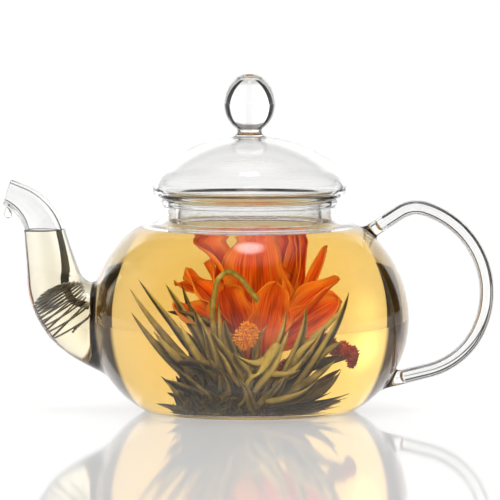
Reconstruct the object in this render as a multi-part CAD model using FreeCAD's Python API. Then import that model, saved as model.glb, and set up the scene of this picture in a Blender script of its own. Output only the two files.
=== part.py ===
import FreeCAD, Part
import math
import os

# Glass teapot with a loose lid, a wire strainer in the spout and an opened tea flower inside.
# Millimetres, +Z up. The origin is the centre of the foot, on the surface that the pot stands on.
# The spout points along -X and the handle along +X.

# Bowl outline, from the foot up to the rim
BELLY_RADIUS = 70.0
BELLY_HEIGHT = 40.0
FOOT_RADIUS = 43.8
SHOULDER_ARC = 18.0
CROWN_HEIGHT = 82.5
CROWN_SPREAD = 3.36
NECK_FILLET = 5.9
NECK_RADIUS = 37.75
NECK_HEIGHT = 11.1
RIM_BEAD_HEIGHT = 3.2
RIM_BEAD_BULGE = 0.9
HEEL_ARC = 5.0
INNER_HEEL_ARC = 6.0
BOWL_WALL = 2.0
FLOOR_THICKNESS = 3.0
FOOT_INNER_RADIUS = 36.0
PUNT_HEIGHT = 1.2
FOOT_SEAM_HEIGHT = 12.0
SHOULDER_SEAM_HEIGHT = 65.0

# Spout: its line runs from the bowl through a lower bend, a straight shank and an upper bend
SHANK_BASE_X = -85.85
SHANK_BASE_Z = 58.0
SHANK_LENGTH = 20.4
ROOT_SLOPE = 28.0
SHANK_SLOPE = 78.7
LIP_SLOPE = 16.9
LOWER_BEND = 24.0
UPPER_BEND = 23.0
ROOT_REACH = 26.0
ROOT_RADIUS = 17.6
THROAT_RADIUS = 17.0
LOWER_BEND_RADIUS = 14.1
SHANK_BASE_RADIUS = 11.9
SHANK_TOP_RADIUS = 9.05
UPPER_BEND_RADIUS = 7.5
LIP_RADIUS = 5.6
SPOUT_WALL = 1.8
CUT_MARGIN = 1.0

# Handle: a glass tube bent in three arcs between two straight ends
HANDLE_DIAMETER = 6.4
HANDLE_WALL = 1.1
HANDLE_ROOT_ANGLE = 51.0
HANDLE_RISE_ANGLE = 33.0
HANDLE_RISE_LENGTH = 16.1
HANDLE_TOP_BEND = 13.3
HANDLE_TOP_TURN = 50.7
HANDLE_BACK_BEND = 38.7
HANDLE_BACK_TURN = 94.2
HANDLE_LOW_BEND = 33.2
HANDLE_LOW_TURN = 54.3
WELD_RADIUS = 5.2
WELD_HEIGHT = 2.0

# Lid
LID_SEAT_GAP = 0.2
LID_OVERHANG = 4.65
LID_HEIGHT = 27.2
LID_SIDE_HEIGHT = 6.03
LID_SIDE_ARC = 10.0
LID_ROLL_ARC = 3.2
LID_WALL = 2.0
FLANGE_THICKNESS = 2.2
COLLAR_CLEARANCE = 3.3
COLLAR_WALL = 1.8
COLLAR_DEPTH = 13.4
STEM_BASE_RADIUS = 6.6
STEM_HEIGHT = 3.1
STEM_WAIST_RADIUS = 5.4
KNOB_RADIUS = 11.3
KNOB_HALF_HEIGHT = 12.9
KNOB_NECK_RADIUS = 5.6

# Strainer: a wire coil that leans on the outside of the lower bend. Its end towards the lip is a close-wound
# dome, and its turns open towards the bowl, each by the same step over the one before.
WIRE_DIAMETER = 0.8
COIL_SLACK = 2.3
COIL_LEAN = 2.15
COIL_SLOPE = 57.0
COIL_SEAT_SLOPE = 46.0
DOME_TURNS = 7
DOME_HEIGHT = 7.0
DOME_EYE_RADIUS = 2.0
OPEN_TURNS = 5
OPENING_STEP = 0.55

# Opened tea flower: leaves and petals leave the tied bundle at a slope and bend over their length.
# A leaf's outline is its share of the full width at each share of its length.
BLOOM_GAP = 0.2
BUNDLE_RADIUS = 13.0
BUNDLE_HEIGHT = 15.0
BUNDLE_WAIST_RADIUS = 9.5
BUNDLE_WAIST_HEIGHT = 8.0
THREAD_DIAMETER = 1.4
LEAF_ROOT_DEPTH = 1.2
LEAF_THICKNESS = 0.9
LEAF_OUTLINE = ((0, 0.4), (0.3, 0.85), (0.6, 1), (0.85, 0.6), (1, 0.08))
LEAF_TIP_THICKNESS = 0.4
OUTER_LEAVES = 11
OUTER_LEAF_TURN = 0.0
OUTER_LEAF_RING = 10.5
OUTER_LEAF_LENGTH = 29.0
OUTER_LEAF_WIDTH = 8.0
OUTER_LEAF_SLOPE = 20.0
OUTER_LEAF_BEND = 35.0
INNER_LEAVES = 9
INNER_LEAF_TURN = 10.0
INNER_LEAF_RING = 9.0
INNER_LEAF_LENGTH = 33.0
INNER_LEAF_WIDTH = 7.0
INNER_LEAF_SLOPE = 48.0
INNER_LEAF_BEND = 15.0
PETALS = 7
PETAL_TURN = 90.0
PETAL_RING = 5.5
PETAL_LENGTH = 50.0
PETAL_WIDTH = 11.0
PETAL_THICKNESS = 0.8
PETAL_SLOPE = 70.0
PETAL_BEND = -20.0
STALK_DIAMETER = 2.0
STALK_LENGTH = 20.0
STALK_CURL = 3.0
BEAD_RADIUS = 2.6

V = FreeCAD.Vector
Y_AXIS = V(0, 1, 0)
Z_AXIS = V(0, 0, 1)
ORIGIN = V(0, 0, 0)


def at(r, z):
    """A point of an outline in the XZ plane."""
    return V(r, 0, z)


def polar(centre, radius, degrees):
    """The point of the XZ plane at an angle above +X, seen from a centre."""
    a = math.radians(degrees)
    return centre + V(radius * math.cos(a), 0, radius * math.sin(a))


def arc(centre, radius, start, end):
    """An arc of the XZ plane between two angles in degrees."""
    middle = polar(centre, radius, (start + end) / 2)
    return Part.Arc(polar(centre, radius, start), middle, polar(centre, radius, end)).toShape()


def line(a, b):
    return Part.LineSegment(a, b).toShape()


def bearing(a, b):
    """The angle above +X of b seen from a, in degrees."""
    return math.degrees(math.atan2(b.z - a.z, b.x - a.x))


def revolved(edges):
    """The solid that a closed outline makes when it is turned about Z."""
    outline = Part.Wire(Part.__sortEdges__(edges))
    return Part.Face(outline).revolve(ORIGIN, Z_AXIS, 360)


# The bowl's outline is a chain of tangent arcs, and its inside is the same chain set in by the wall.
# Both the lower and the upper arc start upright at the belly: the lower one runs into the heel at the foot's
# edge, and the upper one into the shoulder, which is set out from the neck.
FOOT_STEP = BELLY_RADIUS - FOOT_RADIUS
LOWER_ARC = (FOOT_STEP ** 2 + BELLY_HEIGHT * (BELLY_HEIGHT - 2 * HEEL_ARC)) / (2 * (FOOT_STEP - HEEL_ARC))
LOWER_CENTRE = at(BELLY_RADIUS - LOWER_ARC, BELLY_HEIGHT)
SHOULDER_CENTRE = at(NECK_RADIUS + CROWN_SPREAD, CROWN_HEIGHT - SHOULDER_ARC)
SHOULDER_STEP = BELLY_RADIUS - SHOULDER_CENTRE.x
SHOULDER_RISE = SHOULDER_CENTRE.z - BELLY_HEIGHT
SHOULDER_REACH = SHOULDER_STEP ** 2 + SHOULDER_RISE ** 2 - SHOULDER_ARC ** 2
UPPER_ARC = SHOULDER_REACH / (2 * (SHOULDER_STEP - SHOULDER_ARC))
UPPER_CENTRE = at(BELLY_RADIUS - UPPER_ARC, BELLY_HEIGHT)
FILLET_RISE = math.sqrt((SHOULDER_ARC + NECK_FILLET) ** 2 - (NECK_FILLET - CROWN_SPREAD) ** 2)
FILLET_CENTRE = at(NECK_RADIUS + NECK_FILLET, SHOULDER_CENTRE.z + FILLET_RISE)
NECK_TOP = CROWN_HEIGHT + NECK_HEIGHT
SHOULDER_START = bearing(UPPER_CENTRE, SHOULDER_CENTRE)
SHOULDER_END = bearing(SHOULDER_CENTRE, FILLET_CENTRE)


def heel_centre(radius, floor, wall):
    """Centre of the arc that joins a flat floor to the lower wall."""
    z = floor + radius
    gap = LOWER_ARC - wall - radius
    return at(LOWER_CENTRE.x + math.sqrt(gap ** 2 - (BELLY_HEIGHT - z) ** 2), z)


def wall_edges(inset, heel_radius, floor, top):
    """The bowl's outline from floor to neck, set in from the outside by inset."""
    heel = heel_centre(heel_radius, floor, inset)
    heel_end = bearing(LOWER_CENTRE, heel)
    neck = at(NECK_RADIUS - inset, FILLET_CENTRE.z)
    return heel, [
        arc(heel, heel_radius, -90, heel_end),
        arc(LOWER_CENTRE, LOWER_ARC - inset, heel_end, 0),
        arc(UPPER_CENTRE, UPPER_ARC - inset, 0, SHOULDER_START),
        arc(SHOULDER_CENTRE, SHOULDER_ARC - inset, SHOULDER_START, SHOULDER_END),
        arc(FILLET_CENTRE, NECK_FILLET + inset, SHOULDER_END + 180, 180),
        line(neck, at(neck.x, top))]


def bowl_filled():
    """Everything inside the bowl's outside surface, up to the rim."""
    heel, edges = wall_edges(0, HEEL_ARC, 0, NECK_TOP)
    top = at(0, NECK_TOP)
    foot = at(heel.x, 0)
    return revolved(edges + [line(at(NECK_RADIUS, NECK_TOP), top), line(top, ORIGIN), line(ORIGIN, foot)])


def bowl_shell():
    """The blown bowl with its hollowed foot and its beaded rim, before the spout is let in."""
    bead_base = NECK_TOP - RIM_BEAD_HEIGHT
    heel, outside = wall_edges(0, HEEL_ARC, 0, bead_base)
    inner_heel, inside = wall_edges(BOWL_WALL, INNER_HEEL_ARC, FLOOR_THICKNESS, NECK_TOP)
    bead = Part.Arc(
        at(NECK_RADIUS, bead_base),
        at(NECK_RADIUS + RIM_BEAD_BULGE, bead_base + RIM_BEAD_HEIGHT / 2),
        at(NECK_RADIUS, NECK_TOP)).toShape()
    rim = line(at(NECK_RADIUS, NECK_TOP), at(NECK_RADIUS - BOWL_WALL, NECK_TOP))
    floor_middle = at(0, FLOOR_THICKNESS)
    floor = line(at(inner_heel.x, FLOOR_THICKNESS), floor_middle)
    punt_top = at(0, PUNT_HEIGHT)
    punt_radius = (FOOT_INNER_RADIUS ** 2 + PUNT_HEIGHT ** 2) / (2 * PUNT_HEIGHT)
    punt_centre = at(0, PUNT_HEIGHT - punt_radius)
    punt_edge = bearing(punt_centre, at(FOOT_INNER_RADIUS, 0))
    punt = arc(punt_centre, punt_radius, 90, punt_edge)
    foot = line(at(FOOT_INNER_RADIUS, 0), at(heel.x, 0))
    axis = line(floor_middle, punt_top)
    return revolved([punt, foot] + outside + [bead, rim] + inside + [floor, axis])


def band(shell, low, high):
    """The part of the bowl between two levels."""
    return shell.common(Part.makeCylinder(2 * BELLY_RADIUS, high - low, at(0, low)))


def spout_direction(slope):
    """The way that the spout runs where it climbs at this many degrees."""
    a = math.radians(slope)
    return V(-math.cos(a), 0, math.sin(a))


def spout_bend(start, start_slope, slope, bend, climbing):
    """The point on a bend of the spout where it runs at this slope."""
    a = math.radians(start_slope)
    b = math.radians(slope)
    step = V(math.sin(a) - math.sin(b), 0, math.cos(a) - math.cos(b))
    return start + step * (bend * climbing)


SHANK_BASE = at(SHANK_BASE_X, SHANK_BASE_Z)
SHANK_TOP = SHANK_BASE + spout_direction(SHANK_SLOPE) * SHANK_LENGTH
THROAT = spout_bend(SHANK_BASE, SHANK_SLOPE, ROOT_SLOPE, LOWER_BEND, 1)
LIP = spout_bend(SHANK_TOP, SHANK_SLOPE, LIP_SLOPE, UPPER_BEND, -1)


def spout_ring(centre, slope, radius):
    """A circle square to the spout, with its seam on the near side."""
    run = spout_direction(slope)
    ring = Part.makeCircle(radius)
    ring.Placement = FreeCAD.Placement(centre, FreeCAD.Rotation(Y_AXIS, run.cross(Y_AXIS), run, "ZXY"))
    return Part.Wire(ring)


def spout_body(inset, margin):
    """The spout's solid, set in from the outside by inset and longer at the lip by margin."""
    lower_slope = (ROOT_SLOPE + SHANK_SLOPE) / 2
    upper_slope = (SHANK_SLOPE + LIP_SLOPE) / 2
    lip_run = spout_direction(LIP_SLOPE)
    stations = [
        (THROAT - spout_direction(ROOT_SLOPE) * ROOT_REACH, ROOT_SLOPE, ROOT_RADIUS),
        (THROAT, ROOT_SLOPE, THROAT_RADIUS),
        (spout_bend(SHANK_BASE, SHANK_SLOPE, lower_slope, LOWER_BEND, 1), lower_slope, LOWER_BEND_RADIUS),
        (SHANK_BASE, SHANK_SLOPE, SHANK_BASE_RADIUS),
        (SHANK_TOP, SHANK_SLOPE, SHANK_TOP_RADIUS),
        (spout_bend(SHANK_TOP, SHANK_SLOPE, upper_slope, UPPER_BEND, -1), upper_slope, UPPER_BEND_RADIUS),
        (LIP + lip_run * margin, LIP_SLOPE, LIP_RADIUS)]
    rings = [spout_ring(centre, slope, radius - inset) for centre, slope, radius in stations]
    return Part.makeLoft(rings, True, False)


# The handle leaves the bowl where the wall faces this many degrees above level.
if HANDLE_ROOT_ANGLE < SHOULDER_START:
    HANDLE_ROOT_CENTRE = UPPER_CENTRE
    HANDLE_ROOT = polar(UPPER_CENTRE, UPPER_ARC, HANDLE_ROOT_ANGLE)
else:
    HANDLE_ROOT_CENTRE = SHOULDER_CENTRE
    HANDLE_ROOT = polar(SHOULDER_CENTRE, SHOULDER_ARC, HANDLE_ROOT_ANGLE)


def handle_path():
    """The handle's middle line, from inside the shoulder round to inside the heel."""
    heading = HANDLE_RISE_ANGLE
    point = polar(HANDLE_ROOT, HANDLE_RISE_LENGTH, heading)
    edges = [line(polar(HANDLE_ROOT, -2 * WELD_RADIUS, heading), point)]
    bends = (
        (HANDLE_TOP_BEND, HANDLE_TOP_TURN),
        (HANDLE_BACK_BEND, HANDLE_BACK_TURN),
        (HANDLE_LOW_BEND, HANDLE_LOW_TURN))
    for radius, turn in bends:
        centre = polar(point, radius, heading - 90)
        edges.append(arc(centre, radius, heading + 90, heading + 90 - turn))
        heading -= turn
        point = polar(centre, radius, heading + 90)
    reach = (point.x - NECK_RADIUS) / -math.cos(math.radians(heading))
    edges.append(line(point, polar(point, reach, heading)))
    return Part.Wire(edges)


def handle_sweep(path, radius):
    first = path.Edges[0]
    start = first.Vertexes[0].Point
    run = first.tangentAt(first.FirstParameter)
    ring = Part.Wire(Part.makeCircle(radius, start, run))
    return path.makePipeShell([ring], True, False)


def handle_tube(path):
    """The handle's tube, whose bore is closed by the gobs of glass at its ends."""
    radius = HANDLE_DIAMETER / 2
    return handle_sweep(path, radius).cut(handle_sweep(path, radius - HANDLE_WALL))


def weld(point, wall_centre, filled):
    """A rounded gob of glass on the bowl's outside, at a point of an arc of its wall."""
    radius = (WELD_RADIUS ** 2 + WELD_HEIGHT ** 2) / (2 * WELD_HEIGHT)
    inward = wall_centre - point
    inward.normalize()
    return Part.makeSphere(radius, point + inward * (radius - WELD_HEIGHT)).cut(filled)


def handle_landing(path, filled):
    """Where the handle's lower end meets the bowl's outside."""
    last = path.Edges[-1]
    inside = filled.common(last)
    points = [v.Point for v in inside.Vertexes]
    return max(points, key=lambda p: p.x)


LID_BASE = NECK_TOP + LID_SEAT_GAP
LID_APEX = LID_BASE + LID_HEIGHT
LID_RADIUS = NECK_RADIUS + LID_OVERHANG
SIDE_CENTRE = at(LID_RADIUS - LID_SIDE_ARC, LID_BASE + LID_SIDE_HEIGHT)
DOME_RISE = LID_HEIGHT - LID_SIDE_HEIGHT
LID_DOME_ARC = (SIDE_CENTRE.x ** 2 + DOME_RISE ** 2 - LID_SIDE_ARC ** 2) / (2 * (DOME_RISE - LID_SIDE_ARC))
DOME_CENTRE = at(0, LID_APEX - LID_DOME_ARC)
SIDE_START = bearing(DOME_CENTRE, SIDE_CENTRE)
ROLL_CENTRE = at(LID_RADIUS - LID_ROLL_ARC, LID_BASE + LID_ROLL_ARC)
COLLAR_RADIUS = NECK_RADIUS - BOWL_WALL - COLLAR_CLEARANCE


def lid_dome():
    """The lid's dome, its rolled edge and the flange that is folded in under it."""
    wall = LID_WALL
    hole = COLLAR_RADIUS - COLLAR_WALL
    flange_top = LID_BASE + FLANGE_THICKNESS
    inner_roll = LID_ROLL_ARC - FLANGE_THICKNESS
    return revolved([
        arc(DOME_CENTRE, LID_DOME_ARC, 90, SIDE_START),
        arc(SIDE_CENTRE, LID_SIDE_ARC, SIDE_START, 0),
        line(at(LID_RADIUS, SIDE_CENTRE.z), at(LID_RADIUS, ROLL_CENTRE.z)),
        arc(ROLL_CENTRE, LID_ROLL_ARC, 0, -90),
        line(at(ROLL_CENTRE.x, LID_BASE), at(hole, LID_BASE)),
        line(at(hole, LID_BASE), at(hole, flange_top)),
        line(at(hole, flange_top), at(LID_RADIUS - wall - inner_roll, flange_top)),
        arc(at(LID_RADIUS - wall - inner_roll, flange_top + inner_roll), inner_roll, -90, 0),
        line(at(LID_RADIUS - wall, flange_top + inner_roll), at(LID_RADIUS - wall, SIDE_CENTRE.z)),
        arc(SIDE_CENTRE, LID_SIDE_ARC - wall, 0, SIDE_START),
        arc(DOME_CENTRE, LID_DOME_ARC - wall, SIDE_START, 90),
        line(at(0, LID_APEX - wall), at(0, LID_APEX))])


def lid_collar():
    """The ring that keeps the lid in the neck, with a rounded lower edge."""
    inner = COLLAR_RADIUS - COLLAR_WALL
    edge = COLLAR_WALL / 2
    low = LID_BASE - COLLAR_DEPTH + edge
    return revolved([
        line(at(COLLAR_RADIUS, LID_BASE), at(COLLAR_RADIUS, low)),
        arc(at(COLLAR_RADIUS - edge, low), edge, 0, -180),
        line(at(inner, low), at(inner, LID_BASE)),
        line(at(inner, LID_BASE), at(COLLAR_RADIUS, LID_BASE))])


STEM_TOP = LID_APEX + STEM_HEIGHT


def knob_stem():
    """The waisted stem between dome and knob, seated on the dome."""
    waist = at(STEM_WAIST_RADIUS, LID_APEX + STEM_HEIGHT / 2)
    foot = at(STEM_BASE_RADIUS, LID_APEX - LID_WALL)
    skirt = at(STEM_BASE_RADIUS, LID_APEX)
    side = Part.Arc(skirt, waist, at(KNOB_NECK_RADIUS, STEM_TOP)).toShape()
    blank = revolved([
        line(at(0, foot.z), foot),
        line(foot, skirt),
        side,
        line(at(KNOB_NECK_RADIUS, STEM_TOP), at(0, STEM_TOP)),
        line(at(0, STEM_TOP), at(0, foot.z))])
    return blank.cut(Part.makeSphere(LID_DOME_ARC, DOME_CENTRE))


def knob():
    """The solid egg of the knob, cut flat where the stem carries it."""
    drop = KNOB_HALF_HEIGHT * math.sqrt(1 - (KNOB_NECK_RADIUS / KNOB_RADIUS) ** 2)
    centre = at(0, STEM_TOP + drop)
    crown = centre + V(0, 0, KNOB_HALF_HEIGHT)
    egg = Part.Ellipse(crown, centre + V(KNOB_RADIUS, 0, 0), centre)
    neck = at(KNOB_NECK_RADIUS, STEM_TOP)
    ends = sorted((egg.parameter(crown), egg.parameter(neck)))
    side = Part.ArcOfEllipse(egg, ends[0], ends[1]).toShape()
    return revolved([side, line(neck, at(0, STEM_TOP)), line(at(0, STEM_TOP), crown)])


COIL_RADIUS = LOWER_BEND_RADIUS - SPOUT_WALL - COIL_SLACK
SEAT_RUN = spout_direction(COIL_SEAT_SLOPE)
SEAT_OUTWARD = V(-SEAT_RUN.z, 0, SEAT_RUN.x)
COIL_CENTRE = spout_bend(SHANK_BASE, SHANK_SLOPE, COIL_SEAT_SLOPE, LOWER_BEND, 1) + SEAT_OUTWARD * COIL_LEAN
COIL_RUN = spout_direction(COIL_SLOPE)
COIL_SIDE = COIL_RUN.cross(Y_AXIS)
COIL_TURNS = DOME_TURNS + OPEN_TURNS
WIRE_RING = COIL_RADIUS - WIRE_DIAMETER / 2
EYE_ANGLE = math.asin(DOME_EYE_RADIUS / WIRE_RING)
DOME_STEP = (math.pi / 2 - EYE_ANGLE) / DOME_TURNS


def coil_outline(turn):
    """The wire's distance from the coil's axis and from the dome's top, after this many turns."""
    opened = max(turn - DOME_TURNS, 0)
    dome_angle = EYE_ANGLE + DOME_STEP * min(turn, DOME_TURNS)
    dome_drop = DOME_HEIGHT * (math.cos(EYE_ANGLE) - math.cos(dome_angle))
    first_pitch = DOME_HEIGHT * DOME_STEP
    return WIRE_RING * math.sin(dome_angle), dome_drop + first_pitch * opened + OPENING_STEP * opened ** 2 / 2


COIL_TOP = COIL_CENTRE + COIL_RUN * (coil_outline(COIL_TURNS)[1] / 2)
HEADING_STEP = 0.001


def coil_point(turn):
    """The wire's middle after this many turns, counted from the lip's end."""
    radius, drop = coil_outline(turn)
    a = 2 * math.pi * turn
    outward = Y_AXIS * math.cos(a) + COIL_SIDE * math.sin(a)
    return COIL_TOP - COIL_RUN * drop + outward * radius


def coil_heading(turn):
    run = coil_point(turn + HEADING_STEP) - coil_point(turn - HEADING_STEP)
    run.normalize()
    return run


def tangent_arc(start, run, end):
    """The arc that leaves start in the direction run and ends at end."""
    chord = end - start
    length = chord.Length
    chord.normalize()
    side = run - chord * run.dot(chord)
    bend = math.atan2(side.Length, run.dot(chord))
    side.normalize()
    middle = (start + end) * 0.5 + side * (length / 2 * math.tan(bend / 2))
    return Part.Arc(start, middle, end).toShape()


def biarc(start, start_run, end, end_run):
    """Two arcs that join two points of the wire in their own directions."""
    chord = end - start
    total = start_run + end_run
    spread = 2 * (1 - start_run.dot(end_run))
    lean = chord.dot(total)
    reach = (math.sqrt(lean ** 2 + spread * chord.dot(chord)) - lean) / spread
    middle = (start + start_run * reach + end - end_run * reach) * 0.5
    chord_run = middle - start
    chord_run.normalize()
    middle_run = chord_run * (2 * chord_run.dot(start_run)) - start_run
    return [tangent_arc(start, start_run, middle), tangent_arc(middle, middle_run, end)]


def coil_path():
    quarters = 4 * COIL_TURNS
    points = [(coil_point(k / 4), coil_heading(k / 4)) for k in range(quarters + 1)]
    first, first_run = points[0]
    last, last_run = points[-1]
    edges = [line(first - first_run * WIRE_DIAMETER, first)]
    for (start, start_run), (end, end_run) in zip(points, points[1:]):
        edges += biarc(start, start_run, end, end_run)
    edges.append(line(last, last + last_run * WIRE_DIAMETER))
    return Part.Wire(edges)


def strainer_coil():
    run = coil_heading(0)
    ring = Part.Wire(Part.makeCircle(WIRE_DIAMETER / 2, coil_point(0) - run * WIRE_DIAMETER, run))
    return coil_path().makePipeShell([ring], True, False)


def coil_gap():
    """The least clear gap between neighbouring turns, measured on points of the wire."""
    steps = 48
    points = [coil_point(k / steps) for k in range(COIL_TURNS * steps + 1)]
    gaps = []
    for k, point in enumerate(points):
        later = points[k + steps // 2:]
        if later:
            gaps.append(min((point - other).Length for other in later))
    return min(gaps) - WIRE_DIAMETER


BLOOM_BASE = FLOOR_THICKNESS + BLOOM_GAP


def lens(centre, across, up, width, thick):
    """A leaf's section: two shallow arcs that meet at the leaf's edges."""
    left = centre - across * (width / 2)
    right = centre + across * (width / 2)
    crown = centre + up * (thick / 2)
    hollow = centre - up * (thick / 2)
    return Part.Wire([Part.Arc(left, crown, right).toShape(), Part.Arc(right, hollow, left).toShape()])


def blade(azimuth, start_r, start_z, heading, bend, length, width, thick):
    """A leaf that leaves the bundle at a heading above level and bends over its length."""
    a = math.radians(azimuth)
    outward = V(math.cos(a), math.sin(a), 0)
    across = V(-math.sin(a), math.cos(a), 0)
    rings = []
    h0 = math.radians(heading)
    radius = length / math.radians(bend)
    for share, fullness in LEAF_OUTLINE:
        h1 = math.radians(heading + bend * share)
        r = start_r + radius * (math.sin(h1) - math.sin(h0))
        z = start_z + radius * (math.cos(h0) - math.cos(h1))
        up = Z_AXIS * math.cos(h1) - outward * math.sin(h1)
        local_thick = thick * max(fullness, LEAF_TIP_THICKNESS)
        rings.append(lens(outward * r + Z_AXIS * z, across, up, width * fullness, local_thick))
    return Part.makeLoft(rings, True, False)


BUNDLE_TOP = BLOOM_BASE + BUNDLE_HEIGHT


def bloom_thread():
    """The cotton tie, sunk half its thickness into the bundle's waist."""
    waist = at(0, BLOOM_BASE + BUNDLE_WAIST_HEIGHT)
    return Part.makeTorus(BUNDLE_WAIST_RADIUS, THREAD_DIAMETER / 2, waist)


def bloom_base():
    """The bundle of leaf stems, drawn in at the waist where it is tied."""
    low = at(0, BLOOM_BASE)
    high = at(0, BUNDLE_TOP)
    low_edge = at(BUNDLE_RADIUS, low.z)
    high_edge = at(BUNDLE_RADIUS, high.z)
    waist = at(BUNDLE_WAIST_RADIUS, BLOOM_BASE + BUNDLE_WAIST_HEIGHT)
    side = Part.Arc(low_edge, waist, high_edge).toShape()
    bundle = revolved([line(low, low_edge), side, line(high_edge, high), line(high, low)])
    return bundle.cut(bloom_thread())


def whorl(count, turn, base, ring, slope, bend, length, width, thick):
    """A ring of like leaves, each let into the bundle's top."""
    start_z = BUNDLE_TOP - LEAF_ROOT_DEPTH
    leaves = []
    for k in range(count):
        azimuth = turn + 360 * k / count
        leaves.append(blade(azimuth, ring, start_z, slope, bend, length, width, thick).cut(base))
    return Part.makeCompound(leaves)


def stalk_path():
    """The stalk's middle line: straight up out of the bundle, then curled over by half a turn."""
    foot = at(0, BUNDLE_TOP)
    bend = at(0, BUNDLE_TOP + STALK_LENGTH)
    return Part.Wire([line(foot, bend), arc(bend + V(STALK_CURL, 0, 0), STALK_CURL, 180, 0)])


def bloom_stalk():
    ring = Part.Wire(Part.makeCircle(STALK_DIAMETER / 2, at(0, BUNDLE_TOP), Z_AXIS))
    return stalk_path().makePipeShell([ring], True, False)


def bloom_bead():
    """The bead flower that hangs on the stalk's end, let on to it by the stalk's radius."""
    end = at(2 * STALK_CURL, BUNDLE_TOP + STALK_LENGTH)
    hang = math.sqrt(BEAD_RADIUS ** 2 - (STALK_DIAMETER / 2) ** 2)
    bead = Part.makeSphere(BEAD_RADIUS, end - Z_AXIS * hang)
    cap = Part.makeBox(2 * BEAD_RADIUS, 2 * BEAD_RADIUS, BEAD_RADIUS, end - V(BEAD_RADIUS, BEAD_RADIUS, 0))
    return bead.cut(cap)


def main():
    os.makedirs("parts", exist_ok=True)
    filled = bowl_filled()
    channel = spout_body(SPOUT_WALL, CUT_MARGIN)
    path = handle_path()
    landing = handle_landing(path, filled)
    upper_weld = weld(HANDLE_ROOT, HANDLE_ROOT_CENTRE, filled)
    lower_weld = weld(landing, LOWER_CENTRE if landing.z < BELLY_HEIGHT else UPPER_CENTRE, filled)
    shell = bowl_shell().cut(channel)
    bundle = bloom_base()
    nodes = {
        "bowl_foot": band(shell, 0, FOOT_SEAM_HEIGHT),
        "bowl_belly": band(shell, FOOT_SEAM_HEIGHT, SHOULDER_SEAM_HEIGHT),
        "bowl_shoulder": band(shell, SHOULDER_SEAM_HEIGHT, CROWN_HEIGHT),
        "bowl_neck": band(shell, CROWN_HEIGHT, NECK_TOP),
        "spout": spout_body(0, 0).cut(channel).cut(filled),
        "handle": handle_tube(path).cut(filled).cut(upper_weld).cut(lower_weld),
        "handle_upper_weld": upper_weld,
        "handle_lower_weld": lower_weld,
        "lid_dome": lid_dome(),
        "lid_collar": lid_collar(),
        "knob_stem": knob_stem(),
        "knob": knob(),
        "strainer_coil": strainer_coil(),
        "bloom_base": bundle,
        "bloom_thread": bloom_thread(),
        "bloom_outer_leaves": whorl(
            OUTER_LEAVES, OUTER_LEAF_TURN, bundle, OUTER_LEAF_RING, OUTER_LEAF_SLOPE, OUTER_LEAF_BEND,
            OUTER_LEAF_LENGTH, OUTER_LEAF_WIDTH, LEAF_THICKNESS),
        "bloom_inner_leaves": whorl(
            INNER_LEAVES, INNER_LEAF_TURN, bundle, INNER_LEAF_RING, INNER_LEAF_SLOPE, INNER_LEAF_BEND,
            INNER_LEAF_LENGTH, INNER_LEAF_WIDTH, LEAF_THICKNESS),
        "bloom_petals": whorl(
            PETALS, PETAL_TURN, bundle, PETAL_RING, PETAL_SLOPE, PETAL_BEND,
            PETAL_LENGTH, PETAL_WIDTH, PETAL_THICKNESS),
        "bloom_stalk": bloom_stalk(),
        "bloom_bead": bloom_bead()}
    for name, shape in nodes.items():
        print(name, "solids", len(shape.Solids), "volume", round(shape.Volume, 1), "valid", shape.isValid())
        shape.exportStep("parts/%s.step" % name)
    print("least gap between turns of the coil", round(coil_gap(), 3))


if __name__ == "__main__":
    main()
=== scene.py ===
import math
import random

import bpy
import numpy as np
from bpy.props import FloatProperty, FloatVectorProperty, IntProperty, PointerProperty
from mathutils import Matrix, Vector


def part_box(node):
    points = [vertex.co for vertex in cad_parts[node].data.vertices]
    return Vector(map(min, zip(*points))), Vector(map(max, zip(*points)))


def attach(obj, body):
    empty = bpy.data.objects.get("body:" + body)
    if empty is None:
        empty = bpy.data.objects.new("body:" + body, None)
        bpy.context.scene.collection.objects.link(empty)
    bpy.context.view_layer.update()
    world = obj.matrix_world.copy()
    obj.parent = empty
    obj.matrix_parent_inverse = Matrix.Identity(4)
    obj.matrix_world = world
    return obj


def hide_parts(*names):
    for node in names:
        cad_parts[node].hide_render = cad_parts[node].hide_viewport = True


bl_info = {
    "name": "Glass Teapot",
    "version": (1, 0, 0),
    "blender": (4, 5, 0),
    "location": "View3D > Sidebar > Teapot",
    "description": "Dresses the packed teapot in blown glass, tea, a wire strainer and an opened tea flower",
    "category": "Object",
}

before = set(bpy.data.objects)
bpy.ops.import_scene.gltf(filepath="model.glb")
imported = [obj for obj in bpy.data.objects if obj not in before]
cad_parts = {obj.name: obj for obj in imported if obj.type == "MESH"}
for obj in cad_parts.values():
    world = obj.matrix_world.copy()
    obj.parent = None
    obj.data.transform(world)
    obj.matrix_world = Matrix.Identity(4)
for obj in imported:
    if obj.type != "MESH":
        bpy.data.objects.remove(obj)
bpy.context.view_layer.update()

# Everything is in metres, +Z up, spout towards -X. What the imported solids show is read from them.
BELLY_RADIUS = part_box("bowl_belly")[1].y
NECK_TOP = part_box("bowl_neck")[1].z
LID_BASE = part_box("lid_dome")[0].z
LID_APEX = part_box("lid_dome")[1].z
LID_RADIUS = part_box("lid_dome")[1].y
COLLAR_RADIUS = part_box("lid_collar")[1].y
COLLAR_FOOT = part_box("lid_collar")[0].z
STEM_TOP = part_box("knob")[0].z
KNOB_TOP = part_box("knob")[1].z
KNOB_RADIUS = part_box("knob")[1].y
BUNDLE_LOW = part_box("bloom_base")[0].z
BUNDLE_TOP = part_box("bloom_base")[1].z
BUNDLE_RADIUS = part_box("bloom_base")[1].y

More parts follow.
